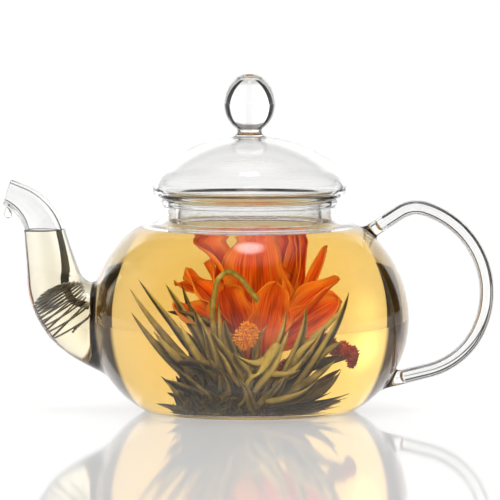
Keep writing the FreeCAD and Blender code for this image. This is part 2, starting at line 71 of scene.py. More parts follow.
# Bowl outline: tangent arcs from the foot to the rim
BELLY_HEIGHT = 0.040
FOOT_RADIUS = 0.0438
UPPER_ARC = 0.051
SHOULDER_ARC = 0.018
CROWN_HEIGHT = 0.0825
NECK_FILLET = 0.0059
NECK_RADIUS = 0.03775
RIM_BEAD_HEIGHT = 0.0032
RIM_BEAD_BULGE = 0.0009
RIM_ROUND = 0.0007
HEEL_ARC = 0.005
INNER_HEEL_ARC = 0.006
FLOOR_THICKNESS = 0.003
FOOT_INNER_RADIUS = 0.036
PUNT_HEIGHT = 0.0012

# Spout line: root, lower bend, shank and upper bend, with the outside radius at seven places
SHANK_BASE = (-0.08585, 0.058)
SHANK_LENGTH = 0.0204
ROOT_SLOPE = 28.0
SHANK_SLOPE = 78.7
LIP_SLOPE = 16.9
LOWER_BEND = 0.024
UPPER_BEND = 0.023
ROOT_REACH = 0.026
SPOUT_RADII = (0.0176, 0.0170, 0.0141, 0.0119, 0.00905, 0.0075, 0.0056)
LIP_FLARE = 0.0007
LIP_FLARE_LENGTH = 0.005

# Handle line: a rise, three bends and a level end
HANDLE_ROOT_ANGLE = 49.0
HANDLE_RISE_ANGLE = 33.0
HANDLE_RISE_LENGTH = 0.0161
HANDLE_BENDS = ((0.0133, 50.7), (0.0387, 94.2), (0.0332, 54.3))
HANDLE_LEVEL_END = BELLY_RADIUS / 2
BORE_END_GAP = 0.0035

# Lid
LID_DOME_ARC = 0.0626
LID_SIDE_ARC = 0.010
LID_ROLL_ARC = 0.0032
LID_INNER_ROLL = 0.0024
LID_WALL = 0.002
FLANGE_THICKNESS = 0.0022
COLLAR_WALL = 0.0018
COLLAR_FILLET = 0.0009
STEM_BASE_RADIUS = 0.0066
STEM_WAIST_RADIUS = 0.0054
STEM_FLARE = 0.0013
KNOB_NECK_RADIUS = 0.0056

# Strainer coil, in the bend of the spout
COIL_SLACK = 0.0023
COIL_LEAN = 0.00215
COIL_SLOPE = 57.0
COIL_SEAT_SLOPE = 46.0
DOME_HEIGHT = 0.007
DOME_EYE_RADIUS = 0.002
OPENING_STEP = 0.00055

# Meshing
LATHE_COUNT = 168
PROFILE_STEP = 0.0015
SPOUT_COUNT = 72
SPOUT_RINGS = 56
HANDLE_COUNT = 32
HANDLE_RINGS = 120
FILLET_RINGS = 5
KNOB_RINGS = 44
COIL_STEPS = 40
COIL_SIDES = 12
HOLE_STATIONS = 120
LIP_TURNS = (30, 60, 90, 120, 150)
CAP_TURNS = (30, 60)
HALVINGS = 45
SAME_POINT = 1e-7
SMALL_STEP = 1e-5
TEA_OVERLAP = 0.00025
# The tea's surface in the spout, ring by ring: share of the width, drop in menisci and lean at the glass
BRIM_STEPS = ((0.93, 0.6, 0.6), (0.82, 0.85, 0.6), (0.6, 1.0, 0.0), (0.3, 1.0, 0.0))


class GlassSettings(bpy.types.PropertyGroup):
    """Sizes and colour of the blown glass."""
    wall: FloatProperty(
        name="Wall", description="Thickness of the bowl's wall", default=0.002, unit="LENGTH")
    spout_wall: FloatProperty(
        name="Spout wall", description="Thickness of the spout's wall", default=0.0018, unit="LENGTH")
    handle_radius: FloatProperty(
        name="Handle radius", description="Outside radius of the handle's tube",
        default=0.0032, unit="LENGTH")
    handle_bore: FloatProperty(
        name="Handle bore", description="Radius of the hollow in the handle's tube",
        default=0.0021, unit="LENGTH")
    joint_radius: FloatProperty(
        name="Joint", description="Size of the melted joint round spout and handle",
        default=0.0026, unit="LENGTH")
    tint: FloatVectorProperty(
        name="Tint", description="Colour of the glass",
        default=(0.990, 0.990, 0.986), size=3, subtype="COLOR")


class TeaSettings(bpy.types.PropertyGroup):
    """The tea that stands in bowl and spout."""
    level: FloatProperty(
        name="Level", description="Height of the tea's surface", default=0.0790, unit="LENGTH")
    meniscus: FloatProperty(
        name="Meniscus", description="How far the tea climbs at the glass", default=0.0007, unit="LENGTH")
    colour: FloatVectorProperty(
        name="Colour", description="What the tea lets through",
        default=(0.93, 0.70, 0.0), size=3, subtype="COLOR")
    strength: FloatProperty(
        name="Strength", description="How fast the tea takes light, per metre", default=17.0)


class StrainerSettings(bpy.types.PropertyGroup):
    """The wire coil in the spout."""
    wire: FloatProperty(
        name="Wire", description="Radius of the wire", default=0.0004, unit="LENGTH")
    dome_turns: IntProperty(
        name="Dome turns", description="Close turns of the domed end", default=7)
    open_turns: IntProperty(
        name="Open turns", description="Turns that open towards the bowl", default=5)


class LidSettings(bpy.types.PropertyGroup):
    """Steam that has settled on the lid's collar."""
    drops: IntProperty(
        name="Drops", description="Drops for each square metre of the collar", default=900000)
    drop_size: FloatProperty(
        name="Drop size", description="Radius of the largest drops", default=0.00042, unit="LENGTH")


class BloomSettings(bpy.types.PropertyGroup):
    """The opened tea flower."""
    leaves: IntProperty(
        name="Leaves", description="Leaves that fill the flower's sides and back", default=60)
    tufts: IntProperty(
        name="Tufts", description="Short leaf ends round the tied base", default=80)
    clump: IntProperty(
        name="Clump", description="Leaf ends in the lumpy mass on the spout's side", default=170)
    petals: IntProperty(
        name="Petals", description="Petals that close the flower's back", default=6)
    seed: IntProperty(
        name="Seed", description="Picks another lie of leaves and petals", default=11)
    leaf_colour: FloatVectorProperty(
        name="Leaf", description="Colour of a wet leaf",
        default=(0.275, 0.205, 0.062), size=3, subtype="COLOR")
    # Darkest leaf colour: dark spots, and the painted shade in each leaf's fold
    leaf_dark_and_fold_shade: FloatVectorProperty(
        name="Leaf fold", description="Colour in a leaf's folds",
        default=(0.085, 0.058, 0.022), size=3, subtype="COLOR")
    petal_colour: FloatVectorProperty(
        name="Petal", description="Colour of a petal", default=(0.97, 0.165, 0.008), size=3, subtype="COLOR")
    petal_edge: FloatVectorProperty(
        name="Petal edge", description="Colour of a petal's thin edge",
        default=(0.98, 0.44, 0.05), size=3, subtype="COLOR")


class StageSettings(bpy.types.PropertyGroup):
    """Floor, light and camera."""
    floor: FloatVectorProperty(
        name="Floor", description="Colour of the floor", default=(0.92, 0.92, 0.915), size=3, subtype="COLOR")
    mirror: FloatProperty(
        name="Mirror", description="Share of light that the floor mirrors", default=0.46)
    daylight: FloatProperty(
        name="Daylight", description="Strength of the surround", default=1.05)
    overhead: FloatProperty(
        name="Overhead", description="Strength of the light over the floor", default=2.5)
    flower: FloatProperty(
        name="Flower", description="Power of the strongest lamp that lights the flower", default=0.018)
    distance: FloatProperty(
        name="Distance", description="From the pot to the camera", default=3.0, unit="LENGTH")
    rise: FloatProperty(
        name="Rise", description="Height of the camera", default=0.290, unit="LENGTH")
    view_width: FloatProperty(
        name="View width", description="Width seen at the pot", default=0.21945, unit="LENGTH")


# Lathe profiles: rows of (distance from the axis, height)


def arc_points(centre, radius, start, end, step=PROFILE_STEP):
    """Points of an arc between two angles in degrees."""
    count = max(7, math.ceil(abs(math.radians(end - start)) * radius / step) + 1)
    a = np.radians(np.linspace(start, end, count))
    return np.column_stack((centre[0] + radius * np.cos(a), centre[1] + radius * np.sin(a)))


def line_points(start, end, step=PROFILE_STEP):
    count = max(2, math.ceil(math.dist(start, end) / step) + 1)
    return np.linspace(start, end, count)


def arc_through(start, middle, end):
    """Points of the arc through three points."""
    (ax, ay), (bx, by), (cx, cy) = start, middle, end
    d = 2 * (ax * (by - cy) + bx * (cy - ay) + cx * (ay - by))
    a2, b2, c2 = ax * ax + ay * ay, bx * bx + by * by, cx * cx + cy * cy
    centre = (
        (a2 * (by - cy) + b2 * (cy - ay) + c2 * (ay - by)) / d,
        (a2 * (cx - bx) + b2 * (ax - cx) + c2 * (bx - ax)) / d)
    turns = [bearing(centre, p) for p in (start, middle, end)]
    first = (turns[1] - turns[0] + 180) % 360 - 180
    second = (turns[2] - turns[1] + 180) % 360 - 180
    return arc_points(centre, math.dist(centre, start), turns[0], turns[0] + first + second)


def joined(*runs):
    """One profile from runs that meet end to end."""
    points = np.concatenate(runs)
    steps = np.linalg.norm(np.diff(points, axis=0), axis=1)
    return points[np.concatenate(([True], steps > SAME_POINT))]


def leg(longest, other):
    """The third side of a right-angled triangle."""
    return math.sqrt(longest ** 2 - other ** 2)


def bearing(a, b):
    """The angle of b seen from a, in degrees."""
    return math.degrees(math.atan2(b[1] - a[1], b[0] - a[0]))


FOOT_STEP = BELLY_RADIUS - FOOT_RADIUS
LOWER_ARC = (FOOT_STEP ** 2 + BELLY_HEIGHT * (BELLY_HEIGHT - 2 * HEEL_ARC)) / (2 * (FOOT_STEP - HEEL_ARC))
LOWER_CENTRE = (BELLY_RADIUS - LOWER_ARC, BELLY_HEIGHT)
UPPER_CENTRE = (BELLY_RADIUS - UPPER_ARC, BELLY_HEIGHT)
SHOULDER_Z = CROWN_HEIGHT - SHOULDER_ARC
SHOULDER_CENTRE = (UPPER_CENTRE[0] + leg(UPPER_ARC - SHOULDER_ARC, SHOULDER_Z - BELLY_HEIGHT), SHOULDER_Z)
FILLET_X = NECK_RADIUS + NECK_FILLET
FILLET_CENTRE = (FILLET_X, SHOULDER_Z + leg(SHOULDER_ARC + NECK_FILLET, FILLET_X - SHOULDER_CENTRE[0]))
SHOULDER_START = bearing(UPPER_CENTRE, SHOULDER_CENTRE)
SHOULDER_END = bearing(SHOULDER_CENTRE, FILLET_CENTRE)


def wall_profile(inset, heel_radius, floor):
    """The bowl's wall from the heel to the neck, set in from the outside by inset."""
    rise = floor + heel_radius
    heel = (LOWER_CENTRE[0] + leg(LOWER_ARC - inset - heel_radius, BELLY_HEIGHT - rise), rise)
    heel_end = bearing(LOWER_CENTRE, heel)
    return joined(
        arc_points(heel, heel_radius, -90, heel_end),
        arc_points(LOWER_CENTRE, LOWER_ARC - inset, heel_end, 0),
        arc_points(UPPER_CENTRE, UPPER_ARC - inset, 0, SHOULDER_START),
        arc_points(SHOULDER_CENTRE, SHOULDER_ARC - inset, SHOULDER_START, SHOULDER_END),
        arc_points(FILLET_CENTRE, NECK_FILLET + inset, SHOULDER_END + 180, 180))


def bowl_profile(wall):
    """The bowl's whole section: punt, outside, beaded rim, inside and floor."""
    outside = wall_profile(0, HEEL_ARC, 0)
    inside = wall_profile(wall, INNER_HEEL_ARC, FLOOR_THICKNESS)
    punt_radius = (FOOT_INNER_RADIUS ** 2 + PUNT_HEIGHT ** 2) / (2 * PUNT_HEIGHT)
    punt_centre = (0, PUNT_HEIGHT - punt_radius)
    punt = arc_points(punt_centre, punt_radius, 90, bearing(punt_centre, (FOOT_INNER_RADIUS, 0)))
    bead_base = NECK_TOP - RIM_BEAD_HEIGHT
    bead = arc_through(
        (NECK_RADIUS, bead_base),
        (NECK_RADIUS + RIM_BEAD_BULGE, bead_base + RIM_BEAD_HEIGHT / 2),
        (NECK_RADIUS, NECK_TOP))
    inner_neck = NECK_RADIUS - wall
    corner = (inner_neck + RIM_ROUND, NECK_TOP - RIM_ROUND)
    return joined(
        punt,
        line_points((FOOT_INNER_RADIUS, 0), outside[0]),
        outside,
        line_points(outside[-1], (NECK_RADIUS, bead_base)),
        bead,
        line_points((NECK_RADIUS, NECK_TOP), (corner[0], NECK_TOP)),
        arc_points(corner, RIM_ROUND, 90, 180),
        line_points((inner_neck, corner[1]), inside[-1]),
        inside[::-1],
        line_points(inside[0], (0, FLOOR_THICKNESS)))


def wall_gap(points, inset):
    """How far points lie outside the bowl's wall, set in by inset, and the wall's outward direction there."""
    r = np.hypot(points[:, 0], points[:, 1])
    z = points[:, 2]
    climb = np.degrees(np.arctan2(z - BELLY_HEIGHT, r - UPPER_CENTRE[0]))
    low = z < BELLY_HEIGHT
    shoulder = climb > SHOULDER_START
    centre_r = np.where(low, LOWER_CENTRE[0], np.where(shoulder, SHOULDER_CENTRE[0], UPPER_CENTRE[0]))
    centre_z = np.where(low | ~shoulder, BELLY_HEIGHT, SHOULDER_CENTRE[1])
    arc = np.where(low, LOWER_ARC, np.where(shoulder, SHOULDER_ARC, UPPER_ARC))
    dr, dz = r - centre_r, z - centre_z
    reach = np.hypot(dr, dz)
    outward = np.column_stack((dr * points[:, 0] / r, dr * points[:, 1] / r, dz)) / reach[:, None]
    return reach - (arc - inset), outward


class Tube:
    """A round tube along a line of straight runs and bends in the plane of spout and handle."""

    def __init__(self, start, heading, runs, stations):
        self.runs = []
        self.stations = stations
        point, a, along = np.array(start), math.radians(heading), 0.0
        for length, bend in runs:
            self.runs.append((along, point, a, bend))
            point, a = self.step(point, a, bend, length)
            along += length
        self.length = along

    @staticmethod
    def step(point, a, bend, d):
        """Where a run with this bend, in radians for each metre, is after the distance d."""
        if bend == 0:
            return point + np.multiply.outer(d, (math.cos(a), math.sin(a))), a + 0 * d
        b = a + bend * d
        shift = np.stack((np.sin(b) - math.sin(a), math.cos(a) - np.cos(b)), axis=-1) / bend
        return point + shift, b

    def line(self, s):
        """Middle line and heading at the distances s."""
        s = np.asarray(s, float)
        place, heading = np.zeros(s.shape + (2,)), np.zeros(s.shape)
        for k, (along, point, a, bend) in enumerate(self.runs):
            end = self.runs[k + 1][0] if k + 1 < len(self.runs) else np.inf
            here = (s < end) & ((s >= along) | (k == 0))
            place[here], heading[here] = self.step(point, a, bend, s[here] - along)
        return place, heading

    def middle(self, s):
        """Points of the middle line at the distances s."""
        return np.insert(self.line(s)[0], 1, 0.0, axis=-1)

    def run(self, s):
        """The line's direction at one distance."""
        heading = self.line(np.array([s]))[1][0]
        return np.array((math.cos(heading), 0, math.sin(heading)))

    def radius(self, s):
        """Radius at the distances s, on a smooth curve through the stations."""
        xs, ys = np.array(self.stations).T
        if len(xs) == 1:
            return np.full(np.shape(s), ys[0])
        slopes = np.gradient(ys, xs)
        s = np.clip(s, xs[0], xs[-1])
        k = np.clip(np.searchsorted(xs, s) - 1, 0, len(xs) - 2)
        h = xs[k + 1] - xs[k]
        t = (s - xs[k]) / h
        rest = 1 - t
        return (
            (1 + 2 * t) * rest ** 2 * ys[k] + t * rest ** 2 * h * slopes[k]
            + t ** 2 * (3 - 2 * t) * ys[k + 1] - t ** 2 * rest * h * slopes[k + 1])

    def point(self, s, turn, inset=0.0):
        """Points of the surface, set in by inset, at distances s and angles turn round the line."""
        place, heading = self.line(s)
        r = self.radius(s) - inset + self.flare(s, turn)
        across, up = np.cos(turn) * r, np.sin(turn) * r
        return np.stack((
            place[..., 0] - np.sin(heading) * up, across, place[..., 1] + np.cos(heading) * up), axis=-1)

    def flare(self, s, turn):
        return 0.0

    def normal(self, s, turn, inset=0.0):
        """Directions square to the surface, from its own small steps."""
        along = self.point(s + SMALL_STEP, turn, inset) - self.point(s - SMALL_STEP, turn, inset)
        across = self.point(s, turn + SMALL_STEP, inset) - self.point(s, turn - SMALL_STEP, inset)
        return unit(np.cross(along, across))

    def crossing(self, turn, inset, wall_inset, gap, inside, outside):
        """Distances at which the surface lies this far outside the bowl's wall."""
        def short(s):
            return wall_gap(self.point(s, turn, inset), wall_inset)[0] < gap
        return halved(short, np.full(turn.shape, inside, float), np.full(turn.shape, outside, float))


class Spout(Tube):
    """The spout, whose lower lip is drawn out a little."""

    def flare(self, s, turn):
        reach = np.clip((s - self.length) / LIP_FLARE_LENGTH + 1, 0, 1)
        return LIP_FLARE * reach ** 2 * np.clip(-np.sin(turn), 0, 1) ** 3


def unit(vectors):
    return vectors / np.linalg.norm(vectors, axis=-1, keepdims=True)


def dots(a, b):
    """Products of two lists of directions, row by row."""
    return (a * b).sum(axis=1, keepdims=True)


def turned_towards(normals, way):
    """Directions turned over where they point against way."""
    return np.where(dots(normals, way) < 0, -normals, normals)


def round_angles(count):
    """Angles once round, in equal steps."""
    return np.linspace(0, 2 * math.pi, count, endpoint=False)


def halved(short, low, high):
    """Where a test stops being true between two lists of distances."""
    for _ in range(HALVINGS):
        middle = (low + high) / 2
        ahead = short(middle)
        low, high = np.where(ahead, middle, low), np.where(ahead, high, middle)
    return (low + high) / 2


def slope_run(slope):
    a = math.radians(slope)
    return np.array((-math.cos(a), math.sin(a)))


def spout_tube():
    """The spout from inside the bowl to the lip."""
    a, b = math.radians(SHANK_SLOPE), math.radians(ROOT_SLOPE)
    throat = np.array(SHANK_BASE) + LOWER_BEND * np.array((
        math.sin(a) - math.sin(b), math.cos(a) - math.cos(b)))
    lower = LOWER_BEND * math.radians(SHANK_SLOPE - ROOT_SLOPE)
    upper = UPPER_BEND * math.radians(SHANK_SLOPE - LIP_SLOPE)
    runs = ((ROOT_REACH, 0), (lower, -1 / LOWER_BEND), (SHANK_LENGTH, 0), (upper, 1 / UPPER_BEND))
    base = ROOT_REACH + lower
    top = base + SHANK_LENGTH
    places = (0, ROOT_REACH, ROOT_REACH + lower / 2, base, top, top + upper / 2, top + upper)
    start = throat - slope_run(ROOT_SLOPE) * ROOT_REACH
    return Spout(start, 180 - ROOT_SLOPE, runs, list(zip(places, SPOUT_RADII)))


def handle_tube(radius):
    """The handle from inside the shoulder to inside the lower wall."""
    a = math.radians(HANDLE_ROOT_ANGLE)
    root = np.array(UPPER_CENTRE) + UPPER_ARC * np.array((math.cos(a), math.sin(a)))
    bends = [(r * math.radians(turn), -1 / r) for r, turn in HANDLE_BENDS]
    runs = [(HANDLE_RISE_LENGTH, 0)] + bends + [(HANDLE_LEVEL_END, 0)]
    return Tube(root, HANDLE_RISE_ANGLE, runs, [(0, radius)])


class Skin:
    """Points, outward directions and faces of one closed piece."""

    def __init__(self):
        self.points, self.normals, self.faces = [], [], []
        self.count = 0

    def add(self, points, normals):
        """Adds points and gives their indices."""
        first = self.count
        self.points.append(np.reshape(points, (-1, 3)))
        self.normals.append(np.reshape(normals, (-1, 3)))
        self.count += len(self.points[-1])
        return np.arange(first, self.count)

    def at(self, index):
        """The points with these indices."""
        return np.concatenate(self.points)[index]

    def strip(self, a, b):
        """Faces between two rings of the same count."""
        self.faces += np.column_stack((a, np.roll(a, -1), np.roll(b, -1), b)).tolist()

    def fan(self, ring, point, normal):
        tip = self.add(point, normal)[0]
        self.faces += [(i, j, tip) for i, j in zip(ring, np.roll(ring, -1))]

    def rings(self, rings, last=None):
        """A strip from ring to ring, on to one that is there already."""
        for a, b in zip(rings, rings[1:]):
            self.strip(a, b)
        if last is not None:
            self.strip(rings[-1], last)

    def zip_loops(self, outer, outer_angles, inner, inner_angles):
        """Triangles between two loops of different counts that go round the same axis."""
        outer, outer_angles = self.ordered(outer, outer_angles)
        inner, inner_angles = self.ordered(inner, inner_angles)
        i = j = 0
        while i < len(outer) or j < len(inner):
            next_outer = outer_angles[i + 1] if i < len(outer) else np.inf
            next_inner = inner_angles[j + 1] if j < len(inner) else np.inf
            a, b = outer[i % len(outer)], inner[j % len(inner)]
            if next_outer <= next_inner:
                i += 1
                self.faces.append((a, outer[i % len(outer)], b))
            else:
                j += 1
                self.faces.append((a, inner[j % len(inner)], b))

    @staticmethod
    def turns(angles):
        """The steps from angle to angle round a loop, each under half a turn."""
        return (np.diff(np.append(angles, angles[0])) + math.pi) % (2 * math.pi) - math.pi

    @classmethod
    def ordered(cls, loop, angles):
        """A loop that starts at its lowest angle and goes round with rising angles."""
        if cls.turns(angles).sum() < 0:
            loop, angles = loop[::-1], angles[::-1]
        first = int(np.argmin(angles))
        loop, angles = np.roll(loop, -first), np.roll(angles, -first)
        return loop, np.concatenate(([angles[0]], angles[0] + np.cumsum(cls.turns(angles))))

    def piece(self, name, material):
        """The finished object, with smooth faces that point outwards."""
        points, normals = np.concatenate(self.points), unit(np.concatenate(self.normals))
        faces = []
        for face in self.faces:
            a, b, c, d = points[face[0]], points[face[1]], points[face[2]], points[face[-1]]
            facing = np.cross(c - a, d - b) if len(face) == 4 else np.cross(b - a, c - a)
            faces.append(face if facing @ normals[list(face)].sum(axis=0) > 0 else face[::-1])
        mesh = plain_mesh(name, points.tolist(), [tuple(int(i) for i in f) for f in faces])
        mesh.shade_smooth()
        mesh.normals_split_custom_set_from_vertices(normals.tolist())
        mesh.materials.append(material)
        return placed(name, mesh)


def plain_mesh(name, points, faces=(), edges=()):
    mesh = bpy.data.meshes.new(name)
    mesh.from_pydata([tuple(p) for p in points], edges, faces)
    return mesh


def placed(name, mesh):
    piece = bpy.data.objects.new(name, mesh)
    bpy.context.scene.collection.objects.link(piece)
    return piece


def lathe(skin, profile, holes=(), count=LATHE_COUNT, middle=(0, 0, 0)):
    """Turns a profile that starts and ends on the axis. Returns the open loop round each hole."""
    run = unit(np.gradient(profile, axis=0))
    body, tilt = profile[1:-1], np.column_stack((run[:, 1], -run[:, 0]))[1:-1]
    a = round_angles(count)
    ring = np.stack((np.cos(a), np.sin(a)), axis=1)
    points, normals = (
        np.concatenate((rows[:, None, :1] * ring, np.repeat(rows[:, None, 1:], count, axis=1)), axis=2)
        for rows in (body, tilt))
    index = skin.add(points + middle, normals).reshape(len(body), count)
    inside = np.zeros(index.shape, int)
    for k, hole in enumerate(holes, 1):
        inside[hole(points.reshape(-1, 3)).reshape(index.shape)] = k
    across = np.roll(index, -1, axis=1)
    quads = np.stack((index[:-1], across[:-1], across[1:], index[1:]), axis=-1).reshape(-1, 4)
    marks = inside.reshape(-1)[quads - index[0, 0]].max(axis=1)
    skin.faces += quads[marks == 0].tolist()
    for end in (0, -1):
        skin.fan(index[end], np.add(middle, (0, 0, profile[end][1])), (0, 0, tilt[end][1]))
    return [edge_loop(quads[marks == 0], quads[marks == k]) for k in range(1, len(holes) + 1)]


def edge_loop(kept, cut):
    """The closed loop of edges between kept faces and the faces cut out of a hole."""
    def edges(quads):
        return {tuple(sorted((q[i], q[(i + 1) % 4]))) for q in quads.tolist() for i in range(4)}
    rim = edges(cut)
    shared = rim & edges(kept[np.isin(kept, np.unique(cut)).any(axis=1)])
    ways = {}
    for a, b in shared:
        ways.setdefault(a, []).append(b)
        ways.setdefault(b, []).append(a)
    loop = [min(ways)]
    while True:
        onward = [v for v in ways[loop[-1]] if v not in loop[-2:]]
        if not onward or onward[0] == loop[0]:
            break
        loop.append(onward[0])
    return np.array(loop)


def hole_of(tube, inset, start, end, margin, side):
    """A test for wall points that lie within a margin of a tube, on one side."""
    stations = np.linspace(start, end, HOLE_STATIONS)
    place, _ = tube.line(stations)
    reach = tube.radius(stations) - inset + margin

    def test(points):
        close = np.zeros(len(points), bool)
        for (x, z), r in zip(place, reach):
            close |= (points[:, 0] - x) ** 2 + points[:, 1] ** 2 + (points[:, 2] - z) ** 2 < r * r
        return close & side(points)
    return test


def on_wall(middle, outer, left=False):
    """A test for points on the outer or inner side of the wall's middle, and towards the spout if left."""
    def test(points):
        here = (wall_gap(points, middle)[0] > 0) == outer
        return here & (points[:, 0] < 0) if left else here
    return test


def let_in(skin, tube, loop, inset, wall_inset, inside, outside, fillet, count, sign):
    """Melts a tube into the bowl's wall. Returns the tube's first ring and its distances along the line."""
    turn = round_angles(count)
    meet = tube.point(tube.crossing(turn, inset, wall_inset, 0, inside, outside), turn, inset)
    middle = meet.mean(axis=0)
    start = tube.crossing(turn, inset, wall_inset, fillet, inside, outside)
    tube_edge = tube.point(start, turn, inset)
    tube_normal = turned_towards(tube.normal(start, turn, inset), meet - middle)
    outward = wall_gap(meet, wall_inset)[1]
    away = unit(tube_normal - dots(tube_normal, outward) * outward)
    wall_edge = meet + away * fillet
    gap, wall_normal = wall_gap(wall_edge, wall_inset)
    wall_edge = wall_edge - wall_normal * gap[:, None]
    rings = []
    for t in np.linspace(0, 1, FILLET_RINGS + 1):
        points = (1 - t) ** 2 * tube_edge + 2 * t * (1 - t) * meet + t ** 2 * wall_edge
        rings.append(skin.add(points, sign * unit((1 - t) * tube_normal + t * wall_normal)))
    skin.rings(rings)
    run = tube.run(start.mean())
    up = np.array((-run[2], 0, run[0]))
    angles = [np.arctan2((p - middle) @ up, p[:, 1]) for p in (skin.at(loop), wall_edge)]
    skin.zip_loops(loop, angles[0], rings[-1], angles[1])
    return rings[0], start


def tube_rings(skin, tube, start, end, shares, inset, count, sign):
    """Rings along a tube between two distances for each angle."""
    turn = round_angles(count)
    rings = []
    for share in shares:
        s = start + (end - start) * share
        points = tube.point(s, turn, inset)
        normals = turned_towards(tube.normal(s, turn, inset), points - tube.middle(s))
        rings.append(skin.add(points, sign * normals))
    return rings


def pot_glass(glass, material):
    """Bowl, spout and handle as one piece of glass, with a hollow handle."""
    skin = Skin()
    spout, handle = spout_tube(), handle_tube(glass.handle_radius)
    shank, joint, middle = ROOT_REACH + LOWER_BEND, glass.joint_radius, glass.wall / 2
    margin = joint + PROFILE_STEP
    handle_end = handle.length - HANDLE_LEVEL_END
    loops = lathe(skin, bowl_profile(glass.wall), (
        hole_of(spout, 0, 0, shank, margin, on_wall(middle, True, left=True)),
        hole_of(spout, glass.spout_wall, 0, shank, margin, on_wall(middle, False, left=True)),
        hole_of(handle, 0, -2 * joint, joint, margin, on_wall(middle, True)),
        hole_of(handle, 0, handle_end, handle.length, margin, on_wall(middle, True))))
    shares = np.linspace(0, 1, SPOUT_RINGS)[1:]
    mouth = []
    for loop, inset, wall_inset, sign in ((loops[0], 0, 0, 1), (loops[1], glass.spout_wall, glass.wall, -1)):
        ring, start = let_in(skin, spout, loop, inset, wall_inset, 0, shank, joint, SPOUT_COUNT, sign)
        rings = tube_rings(skin, spout, start, spout.length, shares, inset, SPOUT_COUNT, sign)
        skin.rings([ring] + rings)
        mouth.append(rings[-1])
    lip_edge(skin, spout, *mouth)
    top, top_start = let_in(
        skin, handle, loops[2], 0, 0, -3 * joint, HANDLE_RISE_LENGTH, joint, HANDLE_COUNT, 1)
    low, low_start = let_in(
        skin, handle, loops[3], 0, 0, handle.length, handle_end - joint, joint, HANDLE_COUNT, 1)
    shares = np.linspace(0, 1, HANDLE_RINGS)[1:-1]
    skin.rings([top] + tube_rings(skin, handle, top_start, low_start, shares, 0, HANDLE_COUNT, 1), low)
    bore(skin, handle, glass, top_start.mean() + BORE_END_GAP, low_start.mean() - BORE_END_GAP)
    return skin.piece("pot_glass", material)


def lip_edge(skin, spout, outside, inside):
    """Rounds the edge of the spout's mouth."""
    a, b = skin.at(outside), skin.at(inside)
    run = spout.run(spout.length)
    middle, half = (a + b) / 2, (a - b) / 2
    depth = np.linalg.norm(half, axis=1, keepdims=True)
    rings = [outside]
    for t in np.radians(LIP_TURNS):
        rings.append(skin.add(
            middle + half * math.cos(t) + run * depth * math.sin(t),
            unit(half) * math.cos(t) + run * math.sin(t)))
    skin.rings(rings, inside)


def bore(skin, handle, glass, start, end):
    """The closed hollow of the handle's tube, with rounded ends."""
    radius = glass.handle_bore
    rings = tube_rings(
        skin, handle, np.full(HANDLE_COUNT, start), end, np.linspace(0, 1, HANDLE_RINGS),
        glass.handle_radius - radius, HANDLE_COUNT, -1)
    skin.rings(rings)
    for ring, s, way in ((rings[0], start, -1), (rings[-1], end, 1)):
        run, centre = way * handle.run(s), handle.middle(np.array([s]))[0]
        radial = unit(skin.at(ring) - centre)
        for t in np.radians(CAP_TURNS):
            out = radial * math.cos(t) + run * math.sin(t)
            cap = skin.add(centre + out * radius, -out)
            skin.strip(ring, cap)
            ring = cap
        skin.fan(ring, centre + run * radius, -run)


def tea_body(glass, tea, material):
    """The tea in bowl and spout, let a little way into the glass so that no film of air is left."""
    skin = Skin()
    inset, channel = glass.wall - TEA_OVERLAP, glass.spout_wall - TEA_OVERLAP
    wall = wall_profile(inset, INNER_HEEL_ARC + TEA_OVERLAP, FLOOR_THICKNESS - TEA_OVERLAP)
    edge = tea.level + tea.meniscus
    wall = wall[wall[:, 1] < edge]
    rim = wall[-1][0] - (edge - wall[-1][1])
    flat = (rim - 5 * tea.meniscus, tea.level)
    profile = joined(
        line_points((0, wall[0][1]), wall[0]),
        wall,
        arc_through((rim, edge), (rim - 2 * tea.meniscus, tea.level + tea.meniscus / 4), flat),
        line_points(flat, (0, tea.level)))
    spout, turn = spout_tube(), round_angles(SPOUT_COUNT)
    shank, joint = ROOT_REACH + LOWER_BEND, glass.joint_radius

    def below_shoulder(points):
        return (points[:, 0] < 0) & (points[:, 2] < SHOULDER_Z)

    def below_edge(s):
        return spout.point(s, turn, channel)[:, 2] < edge

    loop, = lathe(skin, profile, (
        hole_of(spout, channel, 0, shank, joint + PROFILE_STEP, below_shoulder),))
    ring, start = let_in(skin, spout, loop, channel, inset, 0, shank, joint, SPOUT_COUNT, 1)
    end = halved(below_edge, np.full(SPOUT_COUNT, shank), np.full(SPOUT_COUNT, spout.length))
    shares = np.linspace(0, 1, SPOUT_RINGS)[1:]
    rings = [ring] + tube_rings(skin, spout, start, end, shares, channel, SPOUT_COUNT, 1)
    skin.rings(rings)
    ring = rings[-1]
    brim, up = skin.at(ring), np.array((0, 0, 1.0))
    middle = brim.mean(axis=0)
    for share, drop, lean in BRIM_STEPS:
        level = skin.add(
            middle + (brim - middle) * share - up * tea.meniscus * drop,
            unit(up + lean * unit(middle - brim)))
        skin.strip(ring, level)
        ring = level
    skin.fan(ring, middle - up * tea.meniscus, up)
    return skin.piece("tea", material)


